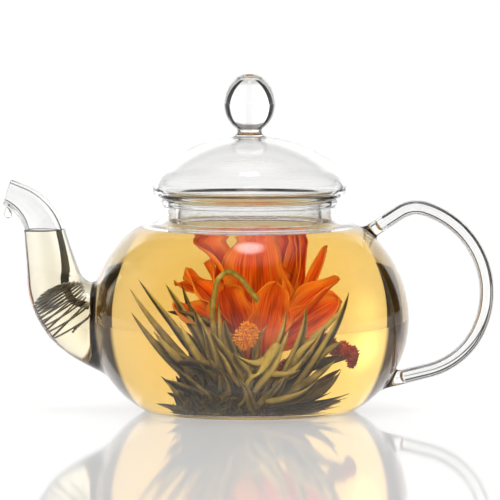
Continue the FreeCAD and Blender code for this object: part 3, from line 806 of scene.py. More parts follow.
def lid_glass(material):
    """Knob, stem, dome, rolled edge, flange and collar as one piece of glass."""
    skin = Skin()
    neck = KNOB_NECK_RADIUS / KNOB_RADIUS
    half = (KNOB_TOP - STEM_TOP) / (1 + leg(1, neck))
    a = np.radians(np.linspace(90, -math.degrees(math.acos(neck)), KNOB_RINGS))
    egg = np.column_stack((KNOB_RADIUS * np.cos(a), KNOB_TOP - half + half * np.sin(a)))
    egg[0, 0] = 0
    dome_centre = (0, LID_APEX - LID_DOME_ARC)
    side_x = LID_RADIUS - LID_SIDE_ARC
    side_centre = (side_x, dome_centre[1] + leg(LID_DOME_ARC - LID_SIDE_ARC, side_x))
    side_start = bearing(dome_centre, side_centre)
    flare_x = STEM_BASE_RADIUS + STEM_FLARE
    flare_end = (flare_x, dome_centre[1] + leg(LID_DOME_ARC, flare_x))
    stem_foot = (STEM_BASE_RADIUS, LID_APEX)
    stem = arc_through(
        (KNOB_NECK_RADIUS, STEM_TOP), (STEM_WAIST_RADIUS, (STEM_TOP + LID_APEX) / 2), stem_foot)
    flare = arc_through(
        stem_foot, (STEM_BASE_RADIUS + STEM_FLARE / 3, (LID_APEX + flare_end[1]) / 2), flare_end)
    roll = (LID_RADIUS - LID_ROLL_ARC, LID_BASE + LID_ROLL_ARC)
    flange_top = LID_BASE + FLANGE_THICKNESS
    inner_side = LID_RADIUS - LID_WALL
    inner_roll = (inner_side - LID_INNER_ROLL, flange_top + LID_INNER_ROLL)
    edge, fillet = COLLAR_WALL / 2, COLLAR_FILLET
    hole = COLLAR_RADIUS - COLLAR_WALL
    profile = joined(
        egg,
        stem,
        flare,
        arc_points(dome_centre, LID_DOME_ARC, bearing(dome_centre, flare_end), side_start),
        arc_points(side_centre, LID_SIDE_ARC, side_start, 0),
        line_points((LID_RADIUS, side_centre[1]), (LID_RADIUS, roll[1])),
        arc_points(roll, LID_ROLL_ARC, 0, -90),
        line_points((roll[0], LID_BASE), (COLLAR_RADIUS + fillet, LID_BASE)),
        arc_points((COLLAR_RADIUS + fillet, LID_BASE - fillet), fillet, 90, 180),
        line_points((COLLAR_RADIUS, LID_BASE - fillet), (COLLAR_RADIUS, COLLAR_FOOT + edge)),
        arc_points((COLLAR_RADIUS - edge, COLLAR_FOOT + edge), edge, 0, -180),
        line_points((hole, COLLAR_FOOT + edge), (hole, flange_top - fillet)),
        arc_points((hole + fillet, flange_top - fillet), fillet, 180, 90),
        line_points((hole + fillet, flange_top), (inner_roll[0], flange_top)),
        arc_points(inner_roll, LID_INNER_ROLL, -90, 0),
        line_points((inner_side, inner_roll[1]), (inner_side, side_centre[1])),
        arc_points(side_centre, LID_SIDE_ARC - LID_WALL, 0, side_start),
        arc_points(dome_centre, LID_DOME_ARC - LID_WALL, side_start, 90))
    profile[-1, 0] = 0
    lathe(skin, profile[::-1])
    return skin.piece("lid_glass", material)


# Geometry Nodes


def node_in(tree, kind, links, settings):
    """A node in a tree, its settings, and the links or values of its inputs by name or place."""
    node = tree.nodes.new(kind)
    for key, value in settings.items():
        setattr(node, key, value)
    for key, value in (links or {}).items():
        if isinstance(value, bpy.types.NodeSocket):
            tree.links.new(value, node.inputs[key])
        else:
            node.inputs[key].default_value = value
    return node


class Nodes:
    """A geometry tree under construction."""

    def __init__(self, name, inputs):
        self.tree = bpy.data.node_groups.new(name, "GeometryNodeTree")
        self.tree.interface.new_socket("Geometry", in_out="INPUT", socket_type="NodeSocketGeometry")
        for label, kind, default in inputs:
            socket = self.tree.interface.new_socket(label, in_out="INPUT", socket_type="NodeSocket" + kind)
            if default is not None:
                socket.default_value = default
        self.tree.interface.new_socket("Geometry", in_out="OUTPUT", socket_type="NodeSocketGeometry")
        self.inputs = self.tree.nodes.new("NodeGroupInput").outputs
        self.output = self.tree.nodes.new("NodeGroupOutput").inputs[0]

    def add(self, kind, links=None, **settings):
        return node_in(self.tree, kind, links, settings).outputs

    def attribute(self, name, kind):
        return self.add("GeometryNodeInputNamedAttribute", {"Name": name}, data_type=kind)["Attribute"]

    def finish(self, geometry):
        """Ends the tree: instances made real, smooth faces and the material."""
        real = self.add("GeometryNodeRealizeInstances", {"Geometry": geometry})["Geometry"]
        smooth = self.add("GeometryNodeSetShadeSmooth", {"Geometry": real})["Geometry"]
        self.tree.links.new(self.add("GeometryNodeSetMaterial", {
            "Geometry": smooth, "Material": self.inputs["Material"]})["Geometry"], self.output)
        return self.tree


def baked(name, mesh, tree, values):
    """Runs a tree on a mesh and keeps the result as a plain mesh."""
    source = placed(name + "_source", mesh)
    modifier = source.modifiers.new(tree.name, "NODES")
    modifier.node_group = tree
    for item in tree.interface.items_tree:
        if item.in_out == "INPUT" and item.name in values:
            modifier[item.identifier] = values[item.name]
    bpy.context.view_layer.update()
    result = bpy.data.meshes.new_from_object(source.evaluated_get(bpy.context.evaluated_depsgraph_get()))
    source.modifiers.remove(modifier)
    bpy.data.objects.remove(source)
    if not result.polygons:
        raise RuntimeError(name + " came out empty")
    result.name = name
    return placed(name, result)


def wire_tree():
    """A round wire along the edges of a mesh."""
    nodes = Nodes("Wire along a path", (
        ("Radius", "Float", 0.0004), ("Sides", "Int", 12), ("Material", "Material", None)))
    curve = nodes.add("GeometryNodeMeshToCurve", {"Mesh": nodes.inputs["Geometry"]})["Curve"]
    ring = nodes.add("GeometryNodeCurvePrimitiveCircle", {
        "Resolution": nodes.inputs["Sides"], "Radius": nodes.inputs["Radius"]}, mode="RADIUS")["Curve"]
    return nodes.finish(nodes.add("GeometryNodeCurveToMesh", {
        "Curve": curve, "Profile Curve": ring, "Fill Caps": True})["Mesh"])


def wire_piece(name, points, radius, sides, material):
    """A wire through points."""
    path = plain_mesh(name + "_path", points, edges=[(i, i + 1) for i in range(len(points) - 1)])
    return baked(name, path, wire_tree(), {"Radius": radius, "Sides": sides, "Material": material})


def strainer_coil(glass, strainer, material):
    """The wire coil: a close-wound dome towards the lip, and turns that open towards the bowl."""
    spout = spout_tube()
    bend_middle = ROOT_REACH + LOWER_BEND * math.radians(SHANK_SLOPE - ROOT_SLOPE) / 2
    seat = ROOT_REACH + LOWER_BEND * math.radians(COIL_SEAT_SLOPE - ROOT_SLOPE)
    radius = float(spout.radius(bend_middle)) - glass.spout_wall - COIL_SLACK - strainer.wire
    place, _ = spout.line(np.array([seat]))
    run = slope_run(COIL_SEAT_SLOPE)
    centre = place[0] + np.array((-run[1], run[0])) * COIL_LEAN
    axis_run = slope_run(COIL_SLOPE)
    axis, side = Vector((axis_run[0], 0, axis_run[1])), Vector((-axis_run[1], 0, axis_run[0]))
    eye = math.asin(DOME_EYE_RADIUS / radius)
    dome_step = (math.pi / 2 - eye) / strainer.dome_turns
    turns = strainer.dome_turns + strainer.open_turns

    def outline(turn):
        opened = max(turn - strainer.dome_turns, 0)
        angle = eye + dome_step * min(turn, strainer.dome_turns)
        drop = DOME_HEIGHT * (math.cos(eye) - math.cos(angle) + dome_step * opened)
        return radius * math.sin(angle), drop + OPENING_STEP * opened ** 2 / 2

    top = Vector((centre[0], 0, centre[1])) + axis * (outline(turns)[1] / 2)
    points = []
    for k in range(turns * COIL_STEPS + 1):
        r, drop = outline(k / COIL_STEPS)
        a = 2 * math.pi * k / COIL_STEPS
        points.append(top - axis * drop + Vector((0, 1, 0)) * (r * math.cos(a)) + side * (r * math.sin(a)))
    return wire_piece("strainer_wire", points, strainer.wire, COIL_SIDES, material)


def drop_tree():
    """Flattened drops scattered on a surface."""
    nodes = Nodes("Drops on a surface", (
        ("Density", "Float", 500000.0), ("Size", "Float", 0.0004), ("Seed", "Int", 3),
        ("Material", "Material", None)))
    scatter = nodes.add("GeometryNodeDistributePointsOnFaces", {
        "Mesh": nodes.inputs["Geometry"], "Density": nodes.inputs["Density"], "Seed": nodes.inputs["Seed"]})
    ball = nodes.add("GeometryNodeMeshUVSphere", {
        "Radius": nodes.inputs["Size"], "Segments": 8, "Rings": 5})["Mesh"]
    drop = nodes.add("GeometryNodeTransform", {"Geometry": ball, "Scale": (1, 1, 0.55)})["Geometry"]
    pick = nodes.add("FunctionNodeRandomValue", {
        2: 0.0, 3: 1.0, "Seed": nodes.inputs["Seed"]}, data_type="FLOAT")[1]
    cubed = nodes.add("ShaderNodeMath", {0: pick, 1: 3.0}, operation="POWER")[0]
    size = nodes.add("ShaderNodeMapRange", {"Value": cubed, "To Min": 0.40, "To Max": 1.0})[0]
    return nodes.finish(nodes.add("GeometryNodeInstanceOnPoints", {
        "Points": scatter["Points"], "Instance": drop, "Rotation": scatter["Rotation"],
        "Scale": size})["Instances"])


def collar_drops(lid, material):
    """Settled steam on the inside of the lid's collar."""
    r = COLLAR_RADIUS - COLLAR_WALL
    low, high = COLLAR_FOOT + COLLAR_WALL, LID_BASE - COLLAR_FILLET
    points = [around(a, r, z) for a in round_angles(LATHE_COUNT) for z in (low, high)]
    last = len(points)
    faces = [(i, i + 1, (i + 3) % last, (i + 2) % last) for i in range(0, last, 2)]
    return baked("steam_drops", plain_mesh("collar_face", points, faces), drop_tree(), {
        "Density": float(lid.drops), "Size": lid.drop_size, "Seed": 3, "Material": material})


# The drop under the lip: how far back it hangs, its outline from the top down, and its meshing
DROP_BACK = 0.0022
DROP_OUTLINE = (
    (0, 0.0005), (0.0009, 0.0002), (0.0012, -0.0005), (0.0014, -0.0012), (0.0016, -0.002),
    (0.0017, -0.0028), (0.0014, -0.0037), (0.0008, -0.0043), (0, -0.0046))
DROP_STEP = 0.00012
DROP_SMOOTHINGS = 12
DROP_SIDES = 24


def lip_drop(material):
    """The drop of tea that hangs under the spout's lip."""
    spout = spout_tube()
    sides = spout.point(np.full(2, spout.length - DROP_BACK), np.array((-math.pi / 2, math.pi / 2)))
    profile = joined(*[line_points(a, b, DROP_STEP) for a, b in zip(DROP_OUTLINE, DROP_OUTLINE[1:])])
    for _ in range(DROP_SMOOTHINGS):
        profile[1:-1] = (profile[:-2] + 2 * profile[1:-1] + profile[2:]) / 4
    skin = Skin()
    lathe(skin, profile[::-1], count=DROP_SIDES, middle=sides[np.argmin(sides[:, 2])])
    return skin.piece("lip_drop", material)


# Opened tea flower


LEAF_STEPS = 14
LEAF_SIDES = 10
LEAF_HALF_WIDTH = 0.058
LEAF_HALF_THICKNESS = 0.040
LEAF_FOLD_WIDTH = 0.55
LEAF_FOLD_DEPTH = 0.85
# Bow, twist and sway of each kind of leaf, as shares of its length and in radians
LEAF_KINDS = ((0.03, 0.5, 0.015), (0.10, -0.8, 0.03), (-0.06, 1.1, -0.03), (0.16, 0.3, 0.02))


def leaf_blank(kind):
    """A rolled leaf of length 1 along +Z that bows towards +X, with a fold down its face and a fine tip."""
    bow, twist, sway = LEAF_KINDS[kind]
    points, along, fold = [], [], []
    for i in range(LEAF_STEPS + 1):
        t = i / LEAF_STEPS
        full = max(math.sin(math.pi * (0.16 + 0.84 * t)) ** 0.7 * (1 - 0.35 * t), 0.03)
        centre = Vector((2 * bow * t * (t - 1), sway * math.sin(2 * math.pi * t), t))
        c, s = math.cos(twist * t), math.sin(twist * t)
        for j in range(LEAF_SIDES):
            a = 2 * math.pi * j / LEAF_SIDES
            groove = math.exp(-((a - math.pi) / LEAF_FOLD_WIDTH) ** 2)
            x = LEAF_HALF_THICKNESS * full * (math.cos(a) + LEAF_FOLD_DEPTH * groove)
            y = LEAF_HALF_WIDTH * full * math.sin(a)
            points.append(centre + Vector((x * c - y * s, x * s + y * c, 0)))
            along.append(t)
            fold.append(groove)
    rows = np.arange(len(points)).reshape(-1, LEAF_SIDES)
    across = np.roll(rows, -1, axis=1)
    faces = np.stack((rows[:-1], across[:-1], across[1:], rows[1:]), axis=-1).reshape(-1, 4).tolist()
    faces += [rows[0, ::-1].tolist(), rows[-1].tolist()]
    name = "leaf_blank_%d" % kind
    mesh = plain_mesh(name, points, faces)
    for key, values in (("along", along), ("fold", fold)):
        mesh.attributes.new(key, "FLOAT", "POINT").data.foreach_set("value", values)
    mesh.shade_smooth()
    return placed(name, mesh)


def leaf_tree():
    """One of four leaves on each point, turned, sized and shaded by the point's own values."""
    kinds = range(len(LEAF_KINDS))
    nodes = Nodes("Leaves on points", [("Leaf %d" % k, "Object", None) for k in kinds] + [
        ("Material", "Material", None)])
    blanks = nodes.tree.nodes.new("GeometryNodeJoinGeometry")
    for k in reversed(kinds):
        info = nodes.add("GeometryNodeObjectInfo", {
            "Object": nodes.inputs["Leaf %d" % k], "As Instance": True})
        nodes.tree.links.new(info["Geometry"], blanks.inputs[0])
    turn = nodes.add("FunctionNodeEulerToRotation", {0: nodes.attribute("turn", "FLOAT_VECTOR")})[0]
    return nodes.finish(nodes.add("GeometryNodeInstanceOnPoints", {
        "Points": nodes.inputs["Geometry"], "Instance": blanks.outputs[0], "Pick Instance": True,
        "Instance Index": nodes.attribute("kind", "INT"), "Rotation": turn,
        "Scale": nodes.attribute("size", "FLOAT_VECTOR")})["Instances"])


def leaf_roots(name, leaves):
    """A mesh of points, one for each leaf, that carries its turn, size, kind and shade."""
    mesh = plain_mesh(name, [leaf["root"] for leaf in leaves])
    for key in ("turn", "size"):
        values = mesh.attributes.new(key, "FLOAT_VECTOR", "POINT")
        values.data.foreach_set("vector", [x for leaf in leaves for x in leaf[key]])
    for key, kind in (("kind", "INT"), ("shade", "FLOAT")):
        values = mesh.attributes.new(key, kind, "POINT")
        values.data.foreach_set("value", [leaf[key] for leaf in leaves])
    return mesh


def leaf_between(root, tip, bow, thickness, kind, shade):
    """The values of one leaf from root to tip that bows towards bow. Its thickness is in metres."""
    aim = Vector(tip) - Vector(root)
    z = aim.normalized()
    x = (Vector(bow) - z * z.dot(Vector(bow))).normalized()
    turn = Matrix((x, z.cross(x), z)).transposed().to_euler()
    across = thickness / (2 * LEAF_HALF_WIDTH)
    return {
        "root": tuple(root), "turn": tuple(turn), "size": (across, across, aim.length),
        "kind": kind, "shade": shade}


def around(azimuth, r, z):
    return Vector((r * math.cos(azimuth), r * math.sin(azimuth), z))


def millimetres(*point):
    return Vector(point) * 0.001


# Leaves follow one another round the flower by this angle, and most bow upwards
GOLDEN_TURN = 2.39996
UPWARDS = (0, 0, 1)
# Leaves that stand out from the rest, in millimetres: root, tip, width, kind and shade. They are drawn wider.
LONG_LEAF_WIDTH = 0.0014
LONG_LEAVES = (
    ((-9, -8, 19), (-43.5, -10, 51), 3.6, 1, 0.35),
    ((-10, -6, 22), (-40.3, -10, 54), 3.2, 0, 0.45),
    ((-12, -10, 18), (-42.4, -10, 43), 3.8, 1, 0.30),
    ((-12, -6, 24), (-29.7, -10, 52), 3.0, 2, 0.85),
    ((-13, -10, 20), (-34, -10, 35), 3.6, 0, 0.40),
    ((-13, -5, 28), (-23.3, -5, 51), 3.2, 0, 0.20),
    ((-8, -8, 36), (-28.6, -10, 43), 3.4, 2, 0.10),
    ((-11, -14, 19), (-20.1, -18, 45), 3.8, 2, 0.65),
    ((-9, -12, 22), (-14, -14, 48), 3.2, 0, 0.60),
    ((-6, -12, 24), (-11, -14, 47), 3.4, 1, 0.55),
    ((-5, -14, 22), (-9, -18, 41), 3.6, 2, 0.75),
    ((-8, -14, 18), (-17, -20, 40), 3.8, 0, 0.80),
    ((7, -12, 24), (13, -16, 44), 3.2, 0, 0.80),
    ((9, -13, 19), (20.1, -16, 45), 3.6, 1, 0.85),
    ((12, -10, 27), (35, -12, 46), 3.4, 0, 0.80),
    ((14, -14, 18), (36, -14, 50), 3.8, 1, 0.70),
    ((12, -16, 21), (24, -20, 35), 3.8, 2, 0.70),
    ((12, -12, 17), (33, -14, 25), 4.0, 3, 0.25),
    ((13, -8, 23), (36, -8, 29), 3.6, 2, 0.15),
    ((10, -20, 32), (-5, -28, 30), 4.2, 3, 0.90),
    ((10, -20, 33), (1, -29, 22), 4.2, 0, 0.80),
    ((3, -20, 26), (19, -26, 25), 4.0, 1, 0.85),
    ((-4, -20, 20), (-12, -24, 32), 4.0, 0, 0.60),
    ((-1, -22, 19), (-6, -27, 31), 4.0, 2, 0.70),
    ((2, -22, 18), (12, -25, 31), 4.2, 0, 0.90),
    ((6, -20, 15), (25, -24, 21), 4.2, 1, 0.75),
    ((9, -18, 20), (20, -24, 29), 3.8, 0, 0.80),
    ((-10, -16, 25), (-27, -16, 27), 3.6, 2, 0.10),
    ((-14, -14, 17), (-26, -18, 25), 3.8, 0, 0.20),
    ((-3, -20, 14), (4, -28, 24), 4.2, 2, 0.70),
    ((-10, -10, 22), (-34, -12, 37), 4.2, 1, 0.45),
    ((-9, -12, 20), (-31, -14, 31), 4.2, 2, 0.35),
    ((-12, -8, 24), (-32, -8, 45), 4.0, 0, 0.50),
    ((-8, -14, 22), (-25, -17, 40), 4.2, 1, 0.60),
    ((-6, -14, 24), (-21, -15, 46), 3.8, 0, 0.45),
    ((-10, -14, 17), (-31, -16, 22), 4.2, 0, 0.20),
    ((-4, -16, 20), (-14, -21, 37), 4.2, 2, 0.70),
    ((4, -16, 20), (14, -19, 38), 4.0, 0, 0.70),
    ((9, -14, 20), (27, -15, 39), 4.0, 1, 0.65),
    ((12, -12, 18), (33, -13, 34), 4.0, 2, 0.45),
    ((10, -16, 16), (31, -17, 28), 4.2, 0, 0.40),
)
# Dark strands that lie towards the handle's side: root and tips in millimetres
STRAND_ROOT = (5, -12, 14)
STRAND_TIPS = (
    (37, -12, 17), (36, -10, 16), (33, -13, 15), (30, -15, 18), (34, -6, 17), (28, -18, 14),
    (35, -14, 16), (31, -9, 14), (26, -20, 17), (33, -4, 15), (29, -16, 15), (36, -8, 18))
STRAND_SHADE = -0.35
# Ranges of width and length, in metres, and of shade
STRAND_WIDTHS = (0.0011, 0.0020)
FILL_WIDTHS = (0.0032, 0.0046)
FILL_LENGTHS = (0.018, 0.026)
TUFT_WIDTHS = (0.0022, 0.0038)
TUFT_LENGTHS = (0.006, 0.011)
TUFT_SHADES = (-0.3, 0.4)
CLUMP_WIDTHS = (0.0024, 0.0042)
CLUMP_LENGTHS = (0.005, 0.009)
CLUMP_SHADES = (-0.4, 0.6)
# Tilts in degrees from the first leaf to the last, with their spread, and distances from the axis
FILL_TILTS = (12, 54)
FILL_TILT_SPREAD = 10
FILL_REACH = (0.007, 0.012)
TUFT_TILTS = (-8, 32)
TUFT_TILT_SPREAD = 14
TUFT_REACH = (0.006, 0.0105)
# How far the tips of short leaf ends stay above the bundle's foot
TUFT_RISE = 0.0015
CLUMP_RISE = 0.003


def leaf_tilt(rng, tilts, share, spread):
    return math.radians(tilts[0] + (tilts[1] - tilts[0]) * share + rng.uniform(-spread, spread))


def leaf_spray(bloom, rng):
    """The long leaves: those that stand out, then a round of leaves for the flower's sides and back."""
    leaves = []
    for root, tip, width, kind, shade in LONG_LEAVES:
        leaves.append(leaf_between(
            millimetres(*root), millimetres(*tip), UPWARDS, width * LONG_LEAF_WIDTH, kind, shade))
    for tip in STRAND_TIPS:
        jitter = Vector((rng.uniform(-3, 3), rng.uniform(-4, 4), rng.uniform(-2, 2)))
        leaves.append(leaf_between(
            millimetres(*(Vector(STRAND_ROOT) + jitter)), millimetres(*tip), UPWARDS,
            rng.uniform(*STRAND_WIDTHS), rng.randrange(len(LEAF_KINDS)), STRAND_SHADE))
    for k in range(bloom.leaves):
        share = k / bloom.leaves
        azimuth = k * GOLDEN_TURN + rng.uniform(-0.2, 0.2)
        tilt = leaf_tilt(rng, FILL_TILTS, share, FILL_TILT_SPREAD)
        length = rng.uniform(*FILL_LENGTHS)
        reach = rng.uniform(*FILL_REACH) * (1.1 - 0.4 * share)
        root = around(azimuth, reach, BUNDLE_TOP - 0.006 + 0.008 * share)
        tip = root + around(azimuth + rng.uniform(-0.6, 0.6), math.cos(tilt), math.sin(tilt)) * length
        bow = Vector((rng.uniform(-0.6, 0.6), rng.uniform(-0.6, 0.6), rng.uniform(-0.3, 1.0)))
        leaves.append(leaf_between(
            root, tip, bow, rng.uniform(*FILL_WIDTHS), rng.randrange(len(LEAF_KINDS)), rng.random()))
    return leaves


# The lumpy mass of leaf ends on the spout's side of the base, in millimetres
CLUMP_MIDDLE = (-12, -10, 13.5)
CLUMP_REACH = (15, 12, 9)
CLUMP_CORE = 0.75


def leaf_end(rng, root, tip, low, widths, shades):
    """A short leaf end whose tip keeps above a height."""
    tip.z = max(tip.z, low)
    return leaf_between(
        root, tip, UPWARDS, rng.uniform(*widths), rng.randrange(len(LEAF_KINDS)), rng.uniform(*shades))


def leaf_tufts(bloom, rng):
    """The short ends of leaves and stems that stick out round the tied base."""
    leaves = []
    for k in range(bloom.tufts):
        azimuth = k * GOLDEN_TURN + rng.uniform(-0.2, 0.2)
        height = rng.random()
        tilt = leaf_tilt(rng, TUFT_TILTS, height, TUFT_TILT_SPREAD)
        root = around(azimuth, rng.uniform(*TUFT_REACH), BUNDLE_LOW + 0.003 + 0.011 * height)
        run = around(azimuth + rng.uniform(-0.7, 0.7), math.cos(tilt), math.sin(tilt))
        tip = root + run * rng.uniform(*TUFT_LENGTHS)
        leaves.append(leaf_end(rng, root, tip, BUNDLE_LOW + TUFT_RISE, TUFT_WIDTHS, TUFT_SHADES))
    for k in range(bloom.clump):
        azimuth, height = rng.uniform(0, 2 * math.pi), rng.uniform(-1, 1)
        out = around(azimuth, leg(1, height), height)
        root = millimetres(*(m + r * CLUMP_CORE * d for m, r, d in zip(CLUMP_MIDDLE, CLUMP_REACH, out)))
        lean = Vector((rng.uniform(-1, 1), rng.uniform(-1, 1), rng.uniform(-0.6, 0.8)))
        tip = root + (out + lean).normalized() * rng.uniform(*CLUMP_LENGTHS)
        leaves.append(leaf_end(rng, root, tip, BUNDLE_LOW + CLUMP_RISE, CLUMP_WIDTHS, CLUMP_SHADES))
    return leaves


def leaf_piece(name, leaves, blanks, material):
    values = {"Leaf %d" % k: blank for k, blank in enumerate(blanks)}
    values["Material"] = material
    return baked(name, leaf_roots(name + "_roots", leaves), leaf_tree(), values)


PETAL_STEPS = 28
PETAL_ACROSS = 12
PETAL_THICKNESS = 0.00032
PETAL_FULL = 0.5
PETAL_WAVE = 1.4
PETAL_TEAR = 0.13


def petal_width(t):
    """A petal's share of its full width: a narrow claw, a full middle and a rounded tip."""
    if t < PETAL_FULL:
        s = t / PETAL_FULL
        return 0.24 + 0.76 * s * s * (3 - 2 * s)
    return max(math.sqrt(1 - ((t - PETAL_FULL) / (1 - PETAL_FULL)) ** 2) ** 0.8, 0.05)


def petal_points(petal, phase):
    """A grid over one petal: it leaves its root, shows its inside to one side and curls back at its tip."""
    root, aim, face, length, width, curl, cup, ruffle = petal
    z = Vector(aim).normalized()
    n = (Vector(face) - z * z.dot(Vector(face))).normalized()
    y = z.cross(n)
    place, heading = millimetres(*root), 0.0
    length, width = length * 0.001, width * 0.001
    rows = []
    for i in range(PETAL_STEPS + 1):
        t = i / PETAL_STEPS
        run = z * math.cos(heading) - n * math.sin(heading)
        up = n * math.cos(heading) + z * math.sin(heading)
        half = width / 2 * petal_width(t)
        row = []
        for j in range(PETAL_ACROSS + 1):
            v = 2 * j / PETAL_ACROSS - 1
            wave = PETAL_WAVE * ruffle * abs(v) ** 1.5 * t * math.sin(11 * t + 2.6 * v + phase)
            crease = 0.045 * math.cos(9 * v + phase + 2 * t) + 0.06 * math.exp(-(v / 0.16) ** 2)
            lift = cup * v * v * (1 - 0.4 * t) + wave + crease * (1 - 0.5 * t)
            tear = PETAL_TEAR * math.sin(15 * t + 4 * phase + math.copysign(1.7, v)) * v * v
            row.append(place + y * (half * v * (1 - 0.15 * abs(v) * cup + tear)) + up * (lift * width))
        rows.append(row)
        place = place + run * (length / PETAL_STEPS)
        heading += curl * (0.3 + 1.7 * t * t) / PETAL_STEPS
    return rows


def petal_mesh(points, faces, coordinates, rows):
    """Adds one petal with its two faces and its rim."""
    first = len(points)
    sheet = []
    for i, row in enumerate(rows):
        for j, p in enumerate(row):
            along = rows[min(i + 1, PETAL_STEPS)][j] - rows[max(i - 1, 0)][j]
            over = row[min(j + 1, PETAL_ACROSS)] - row[max(j - 1, 0)]
            sheet.append((p, along.cross(over).normalized() * (PETAL_THICKNESS / 2)))
            coordinates.append((i / PETAL_STEPS, j / PETAL_ACROSS))
    coordinates += coordinates[-len(sheet):]
    points += [p + n for p, n in sheet] + [p - n for p, n in sheet]
    top = np.arange(first, first + len(sheet)).reshape(len(rows), -1)
    quads = np.stack((top[:-1, :-1], top[1:, :-1], top[1:, 1:], top[:-1, 1:]), axis=-1).reshape(-1, 4)
    rim = np.concatenate((top[0, :-1], top[:-1, -1], top[-1, :0:-1], top[:0:-1, 0]))
    onward = np.roll(rim, -1)
    wall = np.column_stack((rim, onward, onward + len(sheet), rim + len(sheet)))
    faces += quads.tolist() + (quads[:, ::-1] + len(sheet)).tolist() + wall.tolist()


# Petals that stand out, in millimetres: root, aim, inside, length, width, curl, cup and ruffle
BOLD_PETALS = (
    ((1, 0, 27), (0.03, -0.04, 1.0), (0.1, -1, 0.1), 38, 24, 0.15, 0.14, 0.07),
    ((-2, -1, 30), (-0.12, -0.05, 1.0), (1, -0.5, 0.2), 39, 11, 1.60, 0.35, 0.10),
    ((-3.5, -4, 33), (-0.60, -0.15, 0.95), (0.6, -0.6, 0.8), 28, 12, 0.95, 0.35, 0.14),
    ((-2, -5, 28), (-0.30, -0.25, 1.0), (-0.1, -1, 0.3), 25, 17, 0.10, 0.22, 0.07),
    ((4, -7, 29), (0.22, -0.22, 1.0), (0.15, -1, 0.25), 26, 15, -0.25, 0.26, 0.07),
    ((5, -4, 30), (0.80, -0.10, 0.80), (-0.5, -0.6, 0.9), 35, 11, 0.35, 0.38, 0.12),
    ((6, -5, 29), (0.85, -0.12, 0.60), (-0.2, -1, 0.6), 31, 13, 0.30, 0.28, 0.10),
    ((9, 1, 30), (0.60, 0.00, 1.0), (-0.5, -1, 0.3), 37, 4.5, -0.20, 0.40, 0.10),
    ((5, 2, 28), (0.26, 0.04, 1.0), (-0.3, -1, 0.1), 37, 12, 0.10, 0.30, 0.10),
    ((3, 3, 28), (0.12, 0.10, 1.0), (0, -1, 0.1), 38, 13, 0.10, 0.25, 0.10),
    ((7, 1, 29), (0.29, 0.02, 1.0), (-0.4, -1, 0.1), 38, 7, 0.05, 0.35, 0.14),
    ((8, 4, 29), (0.36, 0.10, 1.0), (-0.4, -1, 0.1), 37, 6, -0.20, 0.35, 0.14),
    ((-5, -5, 35), (-0.95, -0.20, 0.50), (0.2, -1, 0.6), 23, 9, 0.70, 0.35, 0.18),
    ((-4, 0, 37), (-0.75, 0.00, 0.80), (0.6, -0.5, 0.8), 25, 7, 1.20, 0.35, 0.16),
)
# Petals that close the flower's back: angle between them, ranges of length, width and curl, cup and ruffle
BACK_PETAL_TURN = 0.55
BACK_PETAL_LENGTHS = (25, 31)
BACK_PETAL_WIDTHS = (12, 16)
BACK_PETAL_CURLS = (0.2, 0.9)
BACK_PETAL_CUP = 0.25
BACK_PETAL_RUFFLE = 0.12


def petal_crown(bloom, rng, material):
    """The flower's petals: those that stand out, then others that close the flower's back."""
    points, faces, coordinates = [], [], []
    petals = list(BOLD_PETALS)
    for k in range(bloom.petals):
        azimuth = math.pi / 2 + (k - (bloom.petals - 1) / 2) * BACK_PETAL_TURN + rng.uniform(-0.15, 0.15)
        spread = 0.24 + rng.uniform(-0.08, 0.14)
        petals.append((
            around(azimuth, 4, 28), around(azimuth, spread, 1.0), around(azimuth + math.pi, 1, 0.4),
            rng.uniform(*BACK_PETAL_LENGTHS), rng.uniform(*BACK_PETAL_WIDTHS),
            rng.uniform(*BACK_PETAL_CURLS), BACK_PETAL_CUP, BACK_PETAL_RUFFLE))
    for petal in petals:
        petal_mesh(points, faces, coordinates, petal_points(petal, rng.uniform(0, 6)))
    mesh = plain_mesh("petal_crown", points, faces)
    corners = np.zeros(len(mesh.loops), int)
    mesh.loops.foreach_get("vertex_index", corners)
    mesh.uv_layers.new(name="UVMap").data.foreach_set("uv", np.array(coordinates)[corners].ravel())
    mesh.shade_smooth()
    mesh.materials.append(material)
    return placed("petal_crown", mesh)


BUNDLE_SIDES = 60
BUNDLE_RINGS = 26
BUNDLE_CORE = 0.80
TIE_WRAPS = 3
TIE_STEPS = 48
TIE_PITCH = 0.0007
TIE_RADIUS = 0.00042
TIE_INSET = 0.0004
TIE_WAVER = 0.0003
TIE_SIDES = 8


def leaf_bundle(rng, material):
    """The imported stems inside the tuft, drawn in where they are tied."""
    skin = Skin()
    a = round_angles(BUNDLE_SIDES)
    ridge = np.array([rng.uniform(-1, 1) for _ in range(BUNDLE_SIDES)])
    rings = []
    for t in np.linspace(0, 1, BUNDLE_RINGS):
        waist = 1 - 0.27 * math.exp(-((t - 0.53) / 0.22) ** 2) - 0.25 * max(0, t - 0.8) / 0.2
        r = BUNDLE_RADIUS * BUNDLE_CORE * waist * (1 + 0.06 * ridge + 0.03 * np.sin(5 * a + 9 * t))
        z = BUNDLE_LOW + t * (BUNDLE_TOP - BUNDLE_LOW)
        rings.append(skin.add(
            np.column_stack((r * np.cos(a), r * np.sin(a), np.full(BUNDLE_SIDES, z))),
            np.column_stack((np.cos(a), np.sin(a), np.zeros(BUNDLE_SIDES)))))
    skin.rings(rings)
    skin.fan(rings[0], (0, 0, BUNDLE_LOW), (0, 0, -1))
    skin.fan(rings[-1], (0, 0, BUNDLE_TOP), (0, 0, 1))
    return skin.piece("stem_bundle", material)


